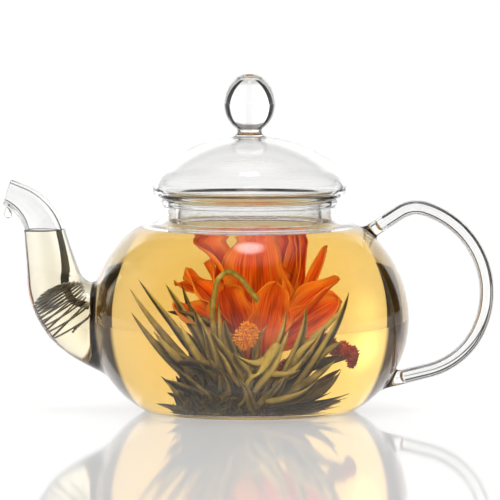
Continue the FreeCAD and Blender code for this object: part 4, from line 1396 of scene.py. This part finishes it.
def tie_thread(material):
    """Wraps of cotton round the bundle's waist."""
    low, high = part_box("bloom_thread")
    middle = (low.z + high.z) / 2
    points = []
    for k in range(TIE_WRAPS * TIE_STEPS + 1):
        a = 2 * math.pi * k / TIE_STEPS
        rise = TIE_PITCH * (k / TIE_STEPS - TIE_WRAPS / 2)
        points.append(around(a, high.y - TIE_INSET + TIE_WAVER * math.sin(5 * a), middle + rise))
    return wire_piece("tie_thread", points, TIE_RADIUS, TIE_SIDES, material)


# The curled stalk's line in millimetres, from the bundle up and over
STALK_LINE = (
    (-4, -6, 17), (-10, -13, 29), (-13, -16, 41), (-12.3, -16, 50), (-11, -16, 54.4), (-7.4, -16, 56.6),
    (-3, -16.5, 54.3), (0.7, -17, 50), (3.2, -17, 47))
STALK_RADIUS = 0.00095
STALK_STEPS = 10
STALK_SIDES = 10


def smooth_line(points, steps):
    """A smooth line through points."""
    p = [Vector(q) for q in points]
    p = [p[0] * 2 - p[1]] + p + [p[-1] * 2 - p[-2]]
    line = []
    for a, b, c, d in zip(p, p[1:], p[2:], p[3:]):
        for k in range(steps):
            t = k / steps
            line.append(0.5 * (
                2 * b + (c - a) * t + (2 * a - 5 * b + 4 * c - d) * t * t + (3 * b - a - 3 * c + d) * t ** 3))
    return line + [p[-2]]


def curled_stalk(material):
    line = [p * 0.001 for p in smooth_line(STALK_LINE, STALK_STEPS)]
    return wire_piece("curled_stalk", line, STALK_RADIUS, STALK_SIDES, material)


# The small flower head and the red spray in front, in millimetres
BEAD_LUMPS = (
    ((-1.6, -19, 36.3), 2.6), ((-3.4, -19, 35.4), 1.7), ((0.4, -19.5, 35.2), 1.8), ((-1.2, -20, 38.0), 1.6),
    ((-2.2, -20.5, 34.0), 1.7), ((1.0, -18.5, 37.2), 1.5))
SPRAY_LINE = (
    (11, -9, 26), (18, -10, 31), (23, -10, 33.5), (28, -10, 33), (32, -9.5, 31), (35.5, -9, 30.5),
    (36, -9, 28.5))
# Sizes of the florets on them, and the spray's scatter in millimetres and radii in metres
BEAD_FLORET = 0.0008
SPRAY_FLORET = 0.0006
SPRAY_STEPS = 4
SPRAY_JITTER = 0.8
SPRAY_RADII = (0.0009, 0.0019)
BALL_ROWS = 8
BALL_SIDES = 12


def floret_tree():
    """A small pointed floret on every point of a surface."""
    nodes = Nodes("Florets on a surface", (
        ("Size", "Float", 0.001), ("Seed", "Int", 5), ("Material", "Material", None)))
    cone = nodes.add("GeometryNodeMeshCone", {
        "Vertices": 6, "Radius Top": 0.2, "Radius Bottom": 0.5, "Depth": 1.3})["Mesh"]
    normal = nodes.add("GeometryNodeInputNormal")[0]
    turn = nodes.add("FunctionNodeAlignRotationToVector", {"Vector": normal}, axis="Z")[0]
    size = nodes.add("FunctionNodeRandomValue", {
        2: 0.5, 3: 1.3, "Seed": nodes.inputs["Seed"]}, data_type="FLOAT")[1]
    scale = nodes.add("ShaderNodeMath", {0: size, 1: nodes.inputs["Size"]}, operation="MULTIPLY")[0]
    florets = nodes.add("GeometryNodeInstanceOnPoints", {
        "Points": nodes.inputs["Geometry"], "Instance": cone, "Rotation": turn, "Scale": scale})["Instances"]
    both = nodes.tree.nodes.new("GeometryNodeJoinGeometry")
    for part in (nodes.inputs["Geometry"], florets):
        nodes.tree.links.new(part, both.inputs[0])
    return nodes.finish(both.outputs[0])


def ball_mesh(name, balls):
    """A mesh of balls, each a middle and a radius."""
    points, faces = [], []
    for middle, r in balls:
        middle, first = Vector(middle), len(points)
        points.append(middle + Vector((0, 0, r)))
        for i in range(1, BALL_ROWS):
            a = math.pi * i / BALL_ROWS
            turns = round_angles(BALL_SIDES) + (i % 2) * math.pi / BALL_SIDES
            points += [middle + around(turn, r * math.sin(a), r * math.cos(a)) for turn in turns]
        last = len(points)
        points.append(middle - Vector((0, 0, r)))
        rows = np.arange(first + 1, last).reshape(-1, BALL_SIDES)
        for j, k in zip(range(BALL_SIDES), np.roll(range(BALL_SIDES), -1)):
            faces.append((first, rows[0, j], rows[0, k]))
            faces += [(p[j], q[j], q[k], p[k]) for p, q in zip(rows, rows[1:])]
            faces.append((rows[-1, j], last, rows[-1, k]))
    return plain_mesh(name, points, [tuple(int(i) for i in face) for face in faces])


def bead_flower(material):
    """The small yellow flower head in front of the petals."""
    balls = [(millimetres(*middle), r * 0.001) for middle, r in BEAD_LUMPS]
    return baked("bead_flower_head", ball_mesh("bead_core", balls), floret_tree(), {
        "Size": BEAD_FLORET, "Seed": 5, "Material": material})


def red_spray(rng, material):
    """The lumpy red spray that leaves the flower on the handle's side."""
    balls = []
    for p in smooth_line(SPRAY_LINE, SPRAY_STEPS):
        jitter = Vector((rng.uniform(-1, 1), rng.uniform(-1, 1), rng.uniform(-1, 1))) * SPRAY_JITTER
        balls.append(((p + jitter) * 0.001, rng.uniform(*SPRAY_RADII)))
    return baked("red_spray", ball_mesh("spray_core", balls), floret_tree(), {
        "Size": SPRAY_FLORET, "Seed": 8, "Material": material})


# Materials


def set_stops(ramp, stops):
    """Gives a colour ramp its stops: place and colour."""
    elements = ramp.color_ramp.elements
    while len(elements) < len(stops):
        elements.new(0.5)
    for element, (place, colour) in zip(elements, stops):
        element.position, element.color = place, (*colour, 1)


class Shader:
    """A material under construction."""

    def __init__(self, name):
        self.material = bpy.data.materials.new(name)
        self.material.use_nodes = True
        self.tree = self.material.node_tree
        self.surface = self.tree.nodes["Principled BSDF"]
        self.output = self.tree.nodes["Material Output"]

    def set(self, **values):
        for key, value in values.items():
            self.surface.inputs[key.replace("_", " ").title().replace("Ior", "IOR")].default_value = value

    def clear(self, ior, tint=(1, 1, 1)):
        self.set(base_color=(*tint, 1), roughness=0.0, ior=ior, transmission_weight=1.0)

    def add(self, kind, links=None, **settings):
        return node_in(self.tree, kind, links, settings)

    def stretched(self, vector, scale):
        return self.add("ShaderNodeMapping", {"Vector": vector, "Scale": scale}).outputs[0]

    def place(self, scale=(1, 1, 1)):
        """Object coordinates times a scale for each axis."""
        return self.stretched(self.add("ShaderNodeTexCoord").outputs["Object"], scale)

    def attribute(self, name):
        return self.add("ShaderNodeAttribute", attribute_name=name).outputs["Fac"]

    def calculate(self, operation, a, b=0.0):
        return self.add("ShaderNodeMath", {0: a, 1: b}, operation=operation).outputs[0]

    def share(self, value, low, high):
        """How far a value is on the way from low to high."""
        return self.add("ShaderNodeMapRange", {"Value": value, "From Min": low, "From Max": high}).outputs[0]

    def noise(self, vector, scale, detail):
        return self.add("ShaderNodeTexNoise", {
            "Vector": vector, "Scale": scale, "Detail": detail}).outputs["Fac"]

    def ramp(self, factor, *stops):
        node = self.add("ShaderNodeValToRGB", {"Fac": factor})
        set_stops(node, stops)
        return node.outputs["Color"]

    def bump(self, height, strength, distance):
        bump = self.add("ShaderNodeBump", {"Height": height, "Strength": strength, "Distance": distance})
        self.into(bump.outputs[0], "Normal")

    def into(self, output, name):
        self.tree.links.new(output, self.surface.inputs[name])

    def mixed_with(self, other, share):
        """Gives another surface a share of the light."""
        mix = self.add("ShaderNodeMixShader", {0: share, 1: self.surface.outputs[0], 2: other.outputs[0]})
        self.tree.links.new(mix.outputs[0], self.output.inputs["Surface"])


def tinted(colour, share):
    return tuple(c * share for c in colour)


GLASS_IOR = 1.47
WATER_IOR = 1.333
PLANT_IOR = 1.38
PETAL_IOR = 1.36
PETAL_TIP_COLOUR = (0.95, 0.42, 0.10)


def glass_material(glass):
    """Clear blown glass with the faint waviness of hand work."""
    if "blown_glass" in bpy.data.materials:
        return bpy.data.materials["blown_glass"]
    shader = Shader("blown_glass")
    shader.clear(GLASS_IOR, glass.tint)
    shader.bump(shader.noise(shader.place((1, 1, 0.6)), 38.0, 1.0), 0.10, 0.0006)
    return shader.material


def tea_material(tea):
    """Clear amber tea: what light it takes grows with its depth."""
    shader = Shader("brewed_tea")
    shader.clear(WATER_IOR)
    shader.bump(shader.noise(shader.place(), 60.0, 1.0), 0.02, 0.0004)
    shader.mixed_with(shader.add("ShaderNodeBsdfRefraction", {
        "Color": (1, 1, 1, 1), "Roughness": 0.0, "IOR": WATER_IOR}), 0.7)
    depth = shader.add("ShaderNodeVolumeAbsorption", {"Color": (*tea.colour, 1), "Density": tea.strength})
    shader.tree.links.new(depth.outputs[0], shader.output.inputs["Volume"])
    return shader.material


def water_material():
    """Drops of clear water."""
    shader = Shader("settled_steam")
    shader.clear(WATER_IOR)
    shader.bump(shader.noise(shader.place(), 900.0, 1.0), 0.05, 0.0001)
    return shader.material


def steel_material():
    """Drawn stainless wire, dulled by tea."""
    shader = Shader("drawn_steel")
    shader.set(metallic=1.0, roughness=0.30)
    grain = shader.noise(shader.place(), 700.0, 4.0)
    shader.into(shader.ramp(grain, (0.3, (0.22, 0.19, 0.15)), (0.7, (0.46, 0.43, 0.38))), "Base Color")
    shader.bump(grain, 0.12, 0.00005)
    return shader.material


def leaf_material(name, bloom, lightness):
    """A wet rolled leaf with fine ribs along it, and painted shade that darkens its fold."""
    shader = Shader(name)
    along, fold, shade = (shader.attribute(key) for key in ("along", "fold", "shade"))
    where = shader.add("ShaderNodeCombineXYZ", {"X": along, "Y": fold, "Z": shade}).outputs[0]
    ribs = shader.noise(shader.stretched(where, (2.5, 16, 40)), 1.6, 4.0)
    patches = shader.noise(shader.place(), 260.0, 3.0)
    mixed = shader.calculate("ADD", shader.calculate("ADD", ribs, patches), shade)
    # Painted shade: taking the fold off the level darkens each leaf's crease
    level = shader.share(shader.calculate("SUBTRACT", mixed, fold), 0.6, 1.75)
    colour = tinted(bloom.leaf_colour, lightness)
    light = (colour[0] * 1.7, colour[1] * 1.8, colour[2] * 1.9)
    shader.into(shader.ramp(
        level, (0.0, tinted(bloom.leaf_dark_and_fold_shade, 0.6 * lightness)), (0.4, tinted(colour, 0.5)),
        (0.72, colour), (1.0, light)), "Base Color")
    shader.set(roughness=0.42, ior=PLANT_IOR)
    shader.bump(ribs, 0.8, 0.0005)
    return shader.material


def petal_material(bloom):
    """A thin wet petal: veins along it, paler towards its edge, and light that comes through."""
    shader = Shader("wet_petal")
    where = shader.add("ShaderNodeUVMap", uv_map="UVMap").outputs[0]
    across = shader.add("ShaderNodeSeparateXYZ", {"Vector": where}).outputs["Y"]
    veins = shader.noise(shader.stretched(where, (2.2, 26, 1)), 1.0, 3.0)
    blotch = shader.noise(shader.place(), 120.0, 2.0)
    edge = shader.calculate("ABSOLUTE", shader.calculate("SUBTRACT", across, 0.5))
    pale = shader.calculate("ADD", shader.calculate("MULTIPLY", edge, blotch), veins)
    colour = shader.ramp(
        shader.share(pale, 0.32, 0.92), (0.0, tinted(bloom.petal_colour, 0.38)),
        (0.36, tuple(bloom.petal_colour)), (0.85, tuple(bloom.petal_edge)), (1.0, PETAL_TIP_COLOUR))
    shader.into(colour, "Base Color")
    shader.set(roughness=0.45, ior=PETAL_IOR)
    shader.bump(veins, 0.9, 0.0006)
    shader.mixed_with(shader.add("ShaderNodeBsdfTranslucent", {"Color": colour}), 0.38)
    return shader.material


def mottled_material(name, dark, light, scale, roughness, bump):
    """A plain natural surface with uneven colour and grain."""
    shader = Shader(name)
    grain = shader.noise(shader.place(), scale, 4.0)
    shader.into(shader.ramp(grain, (0.35, dark), (0.68, light)), "Base Color")
    shader.set(roughness=roughness, ior=PLANT_IOR)
    shader.bump(grain, 0.5, bump)
    return shader.material


def floor_material(stage):
    """Pale polished floor: a white ground under an even share of mirror."""
    shader = Shader("pale_floor")
    haze = shader.noise(shader.place(), 3.0, 2.0)
    shader.into(shader.ramp(haze, (0.0, tinted(stage.floor, 0.99)), (1.0, tuple(stage.floor))), "Base Color")
    shader.set(roughness=0.8)
    shine = shader.add("ShaderNodeBsdfGlossy", {"Color": (1, 1, 1, 1), "Roughness": 0.05})
    shader.mixed_with(shine, stage.mirror)
    return shader.material


# Operators


def seated(piece, body, slot, *nodes):
    """Rides a piece on its body, lets light through it unshaded if it is clear glass, and hides the solids
    that it stands for.
    """
    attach(piece, body)
    # Light passes through clear pieces unshaded
    piece.visible_shadow = slot != "clear_glass"
    if nodes:
        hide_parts(*nodes)
    return piece


class TEAPOT_OT_pot(bpy.types.Operator):
    """Blow the bowl, spout and handle"""
    bl_idname = "teapot.pot"
    bl_label = "Pot"

    def execute(self, context):
        glass = context.scene.teapot_glass
        seated(
            pot_glass(glass, glass_material(glass)), "pot", "clear_glass",
            "bowl_foot", "bowl_belly", "bowl_shoulder", "bowl_neck",
            "spout", "handle", "handle_upper_weld", "handle_lower_weld")
        return {"FINISHED"}


class TEAPOT_OT_tea(bpy.types.Operator):
    """Pour the tea, with the drop under the lip"""
    bl_idname = "teapot.tea"
    bl_label = "Tea"

    def execute(self, context):
        glass, tea = context.scene.teapot_glass, context.scene.teapot_tea
        material = tea_material(tea)
        seated(tea_body(glass, tea, material), "pot", "clear_glass")
        seated(lip_drop(material), "pot", "clear_glass")
        return {"FINISHED"}


class TEAPOT_OT_lid(bpy.types.Operator):
    """Blow the lid and let steam settle on its collar"""
    bl_idname = "teapot.lid"
    bl_label = "Lid"

    def execute(self, context):
        glass = glass_material(context.scene.teapot_glass)
        seated(lid_glass(glass), "lid", "clear_glass", "lid_dome", "lid_collar", "knob_stem", "knob")
        seated(collar_drops(context.scene.teapot_lid, water_material()), "lid", "clear_glass")
        return {"FINISHED"}


class TEAPOT_OT_strainer(bpy.types.Operator):
    """Wind the strainer in the spout"""
    bl_idname = "teapot.strainer"
    bl_label = "Strainer"

    def execute(self, context):
        scene = context.scene
        coil = strainer_coil(scene.teapot_glass, scene.teapot_strainer, steel_material())
        seated(coil, "strainer", "strainer_steel", "strainer_coil")
        return {"FINISHED"}


# Plain skins of the flower: dark and light colour, scale of the grain, roughness and depth of the grain
BLOOM_SKINS = {
    "bundle_stems": ((0.05, 0.035, 0.015), (0.20, 0.15, 0.06), 420.0, 0.6, 0.0006),
    "white_thread": ((0.40, 0.33, 0.19), (0.62, 0.54, 0.36), 1500.0, 0.8, 0.0002),
    "stalk_skin": ((0.20, 0.15, 0.035), (0.42, 0.33, 0.10), 500.0, 0.5, 0.0003),
    "floret_skin": ((0.75, 0.22, 0.01), (0.95, 0.46, 0.04), 450.0, 0.55, 0.0004),
    "spray_skin": ((0.42, 0.04, 0.008), (0.78, 0.14, 0.02), 600.0, 0.5, 0.0003),
}
# Painted shade: the leaf ends round the base take the leaf colours darkened to this share
TUFT_SHADE_LIGHTNESS = 0.68


class TEAPOT_OT_bloom(bpy.types.Operator):
    """Open the tea flower: bundle, leaves, petals, stalk and small flower heads"""
    bl_idname = "teapot.bloom"
    bl_label = "Tea flower"

    def execute(self, context):
        bloom = context.scene.teapot_bloom
        rng = random.Random(bloom.seed)
        blanks = [leaf_blank(k) for k in range(len(LEAF_KINDS))]
        # The leaf ends get a darker copy of the leaf skin: painted shade round the base
        leaf, shaded_tuft_skin = leaf_material("wet_leaf", bloom, 1.0), leaf_material("leaf_ends", bloom, TUFT_SHADE_LIGHTNESS)
        seated(
            leaf_piece("leaf_spray", leaf_spray(bloom, rng), blanks, leaf), "bloom", "tea_leaf",
            "bloom_outer_leaves", "bloom_inner_leaves")
        seated(leaf_piece("leaf_tufts", leaf_tufts(bloom, rng), blanks, shaded_tuft_skin), "bloom", "tea_leaf")
        for blank in blanks:
            bpy.data.objects.remove(blank)
        skin = {name: mottled_material(name, *look) for name, look in BLOOM_SKINS.items()}
        seated(leaf_bundle(rng, skin["bundle_stems"]), "bloom", "tea_leaf", "bloom_base")
        seated(tie_thread(skin["white_thread"]), "bloom", "cotton_thread", "bloom_thread")
        seated(petal_crown(bloom, rng, petal_material(bloom)), "bloom", "petal", "bloom_petals")
        seated(curled_stalk(skin["stalk_skin"]), "bloom", "stalk", "bloom_stalk")
        seated(bead_flower(skin["floret_skin"]), "bloom", "bead_flower", "bloom_bead")
        seated(red_spray(rng, skin["spray_skin"]), "bloom", "petal")
        return {"FINISHED"}


class TEAPOT_OT_stage(bpy.types.Operator):
    """Set the floor, the studio light and the camera"""
    bl_idname = "teapot.stage"
    bl_label = "Stage"

    def execute(self, context):
        stage = context.scene.teapot_stage
        floor = floor_material(stage)
        far = FLOOR_HALF
        flat_piece("floor", ((-far, -far), (far, -far), (far, far), (-far, far)), 0, floor)
        # Painted light and shadow on the floor under the foot
        warm_patch(FOOT_RADIUS - HEEL_ARC / 2)
        dark_card(-1)
        dark_card(1)
        handle_strips(context.scene.teapot_glass)
        surround(context.scene, stage)
        studio_lamps(stage)
        camera(context.scene, stage)
        context.scene.view_settings.view_transform = "Standard"
        context.scene.cycles.max_bounces = 24
        context.scene.cycles.transmission_bounces = 24
        context.scene.cycles.glossy_bounces = 8
        context.scene.cycles.sample_clamp_indirect = 6.0
        return {"FINISHED"}


FLOOR_HALF = 40.0
# Dark cards behind the pot, seen through glass alone: where they start, their two edges and their reach
CARD_START = (0.024, 0.066)
CARD_EDGES = (37.0, 54.0)
CARD_NEAR = 0.10
CARD_FAR = 30.0
CARD_HEIGHT = 0.0006


def flat_piece(name, corners, z, material):
    mesh = plain_mesh(name, [(x, y, z) for x, y in corners], [tuple(range(len(corners)))])
    mesh.materials.append(material)
    return placed(name, mesh)


PATCH_CORNERS = 96
# Painted light and shadow: amber light in the middle, a dark painted shadow at the rim
PAINTED_GLOW_STOPS = ((0.0, (0.82, 0.64, 0.30)), (0.7, (0.66, 0.46, 0.17)), (1.0, (0.12, 0.07, 0.03)))


def warm_patch(radius):
    """Painted light and shadow on the floor under the foot: a pool of amber light, as if the tea threw it,
    that darkens to a painted shadow at the foot's rim.
    """
    shader = Shader("warm_patch")
    x, y, _ = shader.add("ShaderNodeSeparateXYZ", {"Vector": shader.place()}).outputs
    reach = shader.calculate("ADD", *(shader.calculate("POWER", a, 2.0) for a in (x, y)))
    shader.into(shader.ramp(shader.share(reach, 0.0, radius ** 2), *PAINTED_GLOW_STOPS), "Base Color")
    shader.set(roughness=0.6)
    corners = [(radius * math.cos(a), radius * math.sin(a)) for a in round_angles(PATCH_CORNERS)]
    flat_piece("warm_patch", corners, CARD_HEIGHT / 4, shader.material)


def dark_card(side):
    """A card on the floor that only light through glass meets: it draws the dark sides of the tea."""
    corners = []
    for edge, near in ((0, CARD_NEAR), (0, CARD_FAR), (1, CARD_FAR), (1, CARD_NEAR)):
        a = math.radians(CARD_EDGES[edge])
        corners.append((side * (near * math.sin(a) - CARD_START[0]), CARD_START[1] + near * math.cos(a)))
    behind_glass(flat_piece(
        "dark_card_%s" % ("left" if side < 0 else "right"), corners[::-side], CARD_HEIGHT, card_material()))


def card_material():
    return mottled_material("card", (0.004, 0.003, 0.002), (0.008, 0.006, 0.004), 40.0, 0.9, 0.0002)


def behind_glass(card):
    """Puts a card on the stage that only light through glass meets."""
    card.visible_camera = card.visible_diffuse = card.visible_glossy = card.visible_shadow = False


# Dark strips behind the handle, seen through its glass alone: how far behind, where they start and end
# along it, and their edges from its middle line
STRIP_BEHIND = 0.012
STRIP_START = 0.008
STRIP_END = 0.0125
STRIP_EDGES = ((0.0050, 0.017), (-0.0052, -0.011))
STRIP_STEPS = 60


def handle_strips(glass):
    """Dark strips along both sides of the handle, which draw its edges."""
    handle = handle_tube(glass.handle_radius)
    end = handle.length - HANDLE_LEVEL_END + STRIP_END
    place, heading = handle.line(np.linspace(STRIP_START, end, STRIP_STEPS))
    out = np.column_stack((-np.sin(heading), np.cos(heading)))
    material = card_material()
    faces = [(i, i + 1, i + 1 + STRIP_STEPS, i + STRIP_STEPS) for i in range(STRIP_STEPS - 1)]
    for k, (near, far) in enumerate(STRIP_EDGES):
        rows = np.concatenate((place + out * near, place + out * far))
        mesh = plain_mesh("handle_strip_%d" % k, np.insert(rows, 1, STRIP_BEHIND, axis=1), faces)
        mesh.materials.append(material)
        behind_glass(placed(mesh.name, mesh))


# The surround: shares of its light by direction. Turn is the sine of the angle from straight behind the pot.
WINDOW_STOPS = (
    (0.0, 0.97), (0.08, 0.97), (0.20, 1.3), (0.59, 1.3),
    (0.63, 0.008), (0.82, 0.008), (0.90, 0.22), (1.0, 0.35))
ROOM_LIGHT = 0.08
HORIZON_LIGHT = 0.5
MIDDLE_SHARE = 0.25
OVERHEAD_LIGHT = 0.5
LAMP_LIGHT = 6.0
LAMP_RISE = 86.0
LAMP_HALF_WIDTH = 0.10
LAMP_HALF_HEIGHT = 0.11
GLOW_WAY = (-0.45, 0.889, 0.09)
GLOW_LIGHT = 0.9
WINDOW_LEAN = -0.30
# Where one light fades into the next: by height, by depth or by distance from its middle
HORIZON_FADE = (0.0, 0.35)
WINDOW_FADE = (-0.25, 0.1)
MIDDLE_FADE = (0.45, 0.60)
OVERHEAD_FADE = (0.86, 0.95)
LAMP_FADE = (0.0, 2.5)
GLOW_FADE = (0.0, 0.16)


def surround(scene, stage):
    """A bright window behind the pot in a dark room, with light overhead and a soft lamp above the camera."""
    world = bpy.data.worlds.new("surround")
    world.use_nodes = True
    scene.world = world
    tree = world.node_tree

    def add(kind, links=None, **settings):
        return node_in(tree, kind, links, settings).outputs

    def calculate(operation, a, b=0.0, c=0.0):
        return add("ShaderNodeMath", {0: a, 1: b, 2: c}, operation=operation)[0]

    def fade(value, reach, low, high):
        return add("ShaderNodeMapRange", {
            "Value": value, "From Min": reach[0], "From Max": reach[1], "To Min": low, "To Max": high},
            interpolation_type="SMOOTHSTEP")[0]

    way = add("ShaderNodeTexCoord")["Generated"]
    x, y, z = add("ShaderNodeSeparateXYZ", {"Vector": way})
    flat = calculate("POWER", calculate("SUBTRACT", 1.0, calculate("MULTIPLY", z, z)), 0.5)
    turn = calculate("DIVIDE", calculate("ABSOLUTE", x), flat)
    window = node_in(tree, "ShaderNodeValToRGB", {"Fac": turn}, {})
    set_stops(window, [(place, (value,) * 3) for place, value in WINDOW_STOPS])
    lean = calculate("MULTIPLY_ADD", x, WINDOW_LEAN, 1.0)
    room = fade(z, HORIZON_FADE, HORIZON_LIGHT, ROOM_LIGHT)
    belt = fade(y, WINDOW_FADE, room, calculate("MULTIPLY", window.outputs[0], lean))
    belt = calculate("MULTIPLY", belt, fade(z, MIDDLE_FADE, 1.0, MIDDLE_SHARE))
    top = fade(z, OVERHEAD_FADE, 0.0, OVERHEAD_LIGHT)
    rise = math.radians(LAMP_RISE)
    up = calculate("MULTIPLY_ADD", y, math.sin(rise), calculate("MULTIPLY", z, math.cos(rise)))
    across = calculate("POWER", calculate("DIVIDE", x, LAMP_HALF_WIDTH), 2.0)
    reach = calculate("ADD", across, calculate("POWER", calculate("DIVIDE", up, LAMP_HALF_HEIGHT), 2.0))
    apart = add("ShaderNodeVectorMath", {0: way, 1: GLOW_WAY}, operation="DISTANCE")["Value"]
    light = calculate("ADD", belt, top)
    light = calculate("ADD", light, fade(reach, LAMP_FADE, LAMP_LIGHT, 0.0))
    light = calculate("ADD", light, fade(apart, GLOW_FADE, GLOW_LIGHT, 0.0))
    background = tree.nodes["Background"].inputs
    tree.links.new(light, background["Color"])
    background["Strength"].default_value = stage.daylight


def lamp(name, kind, place, aim, power):
    """A lamp that neither the camera nor the glass shows."""
    light = bpy.data.objects.new(name, bpy.data.lights.new(name, kind))
    light.data.energy = power
    light.location = place
    light.rotation_euler = (Vector(aim) - Vector(place)).to_track_quat("-Z", "Y").to_euler()
    light.visible_camera = light.visible_glossy = light.visible_transmission = False
    bpy.context.scene.collection.objects.link(light)
    return light


# Small lamps inside the bowl, close to its wall, which light the flower: place and share of their power
FLOWER_LAMPS = (
    ((-0.036, -0.041, 0.066), 1.0), ((0.034, -0.043, 0.066), 0.85), ((0.0, -0.060, 0.024), 0.35),
    ((-0.036, 0.041, 0.066), 0.7), ((0.036, 0.041, 0.066), 0.7))
FLOWER_MIDDLE = (0, -0.004, 0.036)
FLOWER_LAMP_SIZE = 0.018
SKY_ANGLE = 120


def studio_lamps(stage):
    """Wide light from above for the floor, and the small lamps round the flower."""
    sky = lamp("overhead_light", "SUN", (0, 0, 2), (0, 0.1, 0), stage.overhead)
    sky.data.angle = math.radians(SKY_ANGLE)
    for k, (place, share) in enumerate(FLOWER_LAMPS):
        small = lamp("flower_light_%d" % k, "AREA", place, FLOWER_MIDDLE, stage.flower * share)
        small.data.shape = "DISK"
        small.data.size = FLOWER_LAMP_SIZE


CAMERA_TARGET = (0.0002, 0, 0.0707)
SENSOR_WIDTH = 36.0


def camera(scene, stage):
    """The photograph's view: from far in front and a little above."""
    lens = bpy.data.cameras.new("camera")
    view = bpy.data.objects.new("camera", lens)
    target = Vector(CAMERA_TARGET)
    view.location = Vector((target.x, -stage.distance, stage.rise))
    view.rotation_euler = (target - view.location).to_track_quat("-Z", "Y").to_euler()
    lens.sensor_width = SENSOR_WIDTH
    lens.lens = SENSOR_WIDTH * (target - view.location).length / stage.view_width
    lens.clip_end = 100.0
    scene.collection.objects.link(view)
    scene.camera = view


class TEAPOT_PT_panel(bpy.types.Panel):
    """Sizes, colours and pieces of the teapot"""
    bl_label = "Teapot"
    bl_idname = "TEAPOT_PT_panel"
    bl_space_type = "VIEW_3D"
    bl_region_type = "UI"
    bl_category = "Teapot"

    def draw(self, context):
        for name, operators in PANEL:
            box = self.layout.box()
            settings = getattr(context.scene, name)
            for key in settings.bl_rna.properties.keys():
                if key not in ("rna_type", "name"):
                    box.prop(settings, key)
            for operator in operators:
                box.operator(operator)


SETTINGS = (
    ("teapot_glass", GlassSettings), ("teapot_tea", TeaSettings), ("teapot_strainer", StrainerSettings),
    ("teapot_lid", LidSettings), ("teapot_bloom", BloomSettings), ("teapot_stage", StageSettings))
PANEL = (
    ("teapot_glass", ("teapot.pot",)), ("teapot_tea", ("teapot.tea",)), ("teapot_lid", ("teapot.lid",)),
    ("teapot_strainer", ("teapot.strainer",)), ("teapot_bloom", ("teapot.bloom",)),
    ("teapot_stage", ("teapot.stage",)))
OPERATORS = (
    TEAPOT_OT_pot, TEAPOT_OT_tea, TEAPOT_OT_lid, TEAPOT_OT_strainer, TEAPOT_OT_bloom, TEAPOT_OT_stage)


def register():
    for name, group in SETTINGS:
        bpy.utils.register_class(group)
        setattr(bpy.types.Scene, name, PointerProperty(type=group))
    for operator in OPERATORS:
        bpy.utils.register_class(operator)
    bpy.utils.register_class(TEAPOT_PT_panel)


def unregister():
    bpy.utils.unregister_class(TEAPOT_PT_panel)
    for operator in reversed(OPERATORS):
        bpy.utils.unregister_class(operator)
    for name, group in reversed(SETTINGS):
        delattr(bpy.types.Scene, name)
        bpy.utils.unregister_class(group)


def main():
    register()
    bpy.ops.teapot.pot()
    bpy.ops.teapot.tea()
    bpy.ops.teapot.lid()
    bpy.ops.teapot.strainer()
    bpy.ops.teapot.bloom()
    bpy.ops.teapot.stage()


if __name__ == "__main__":
    main()
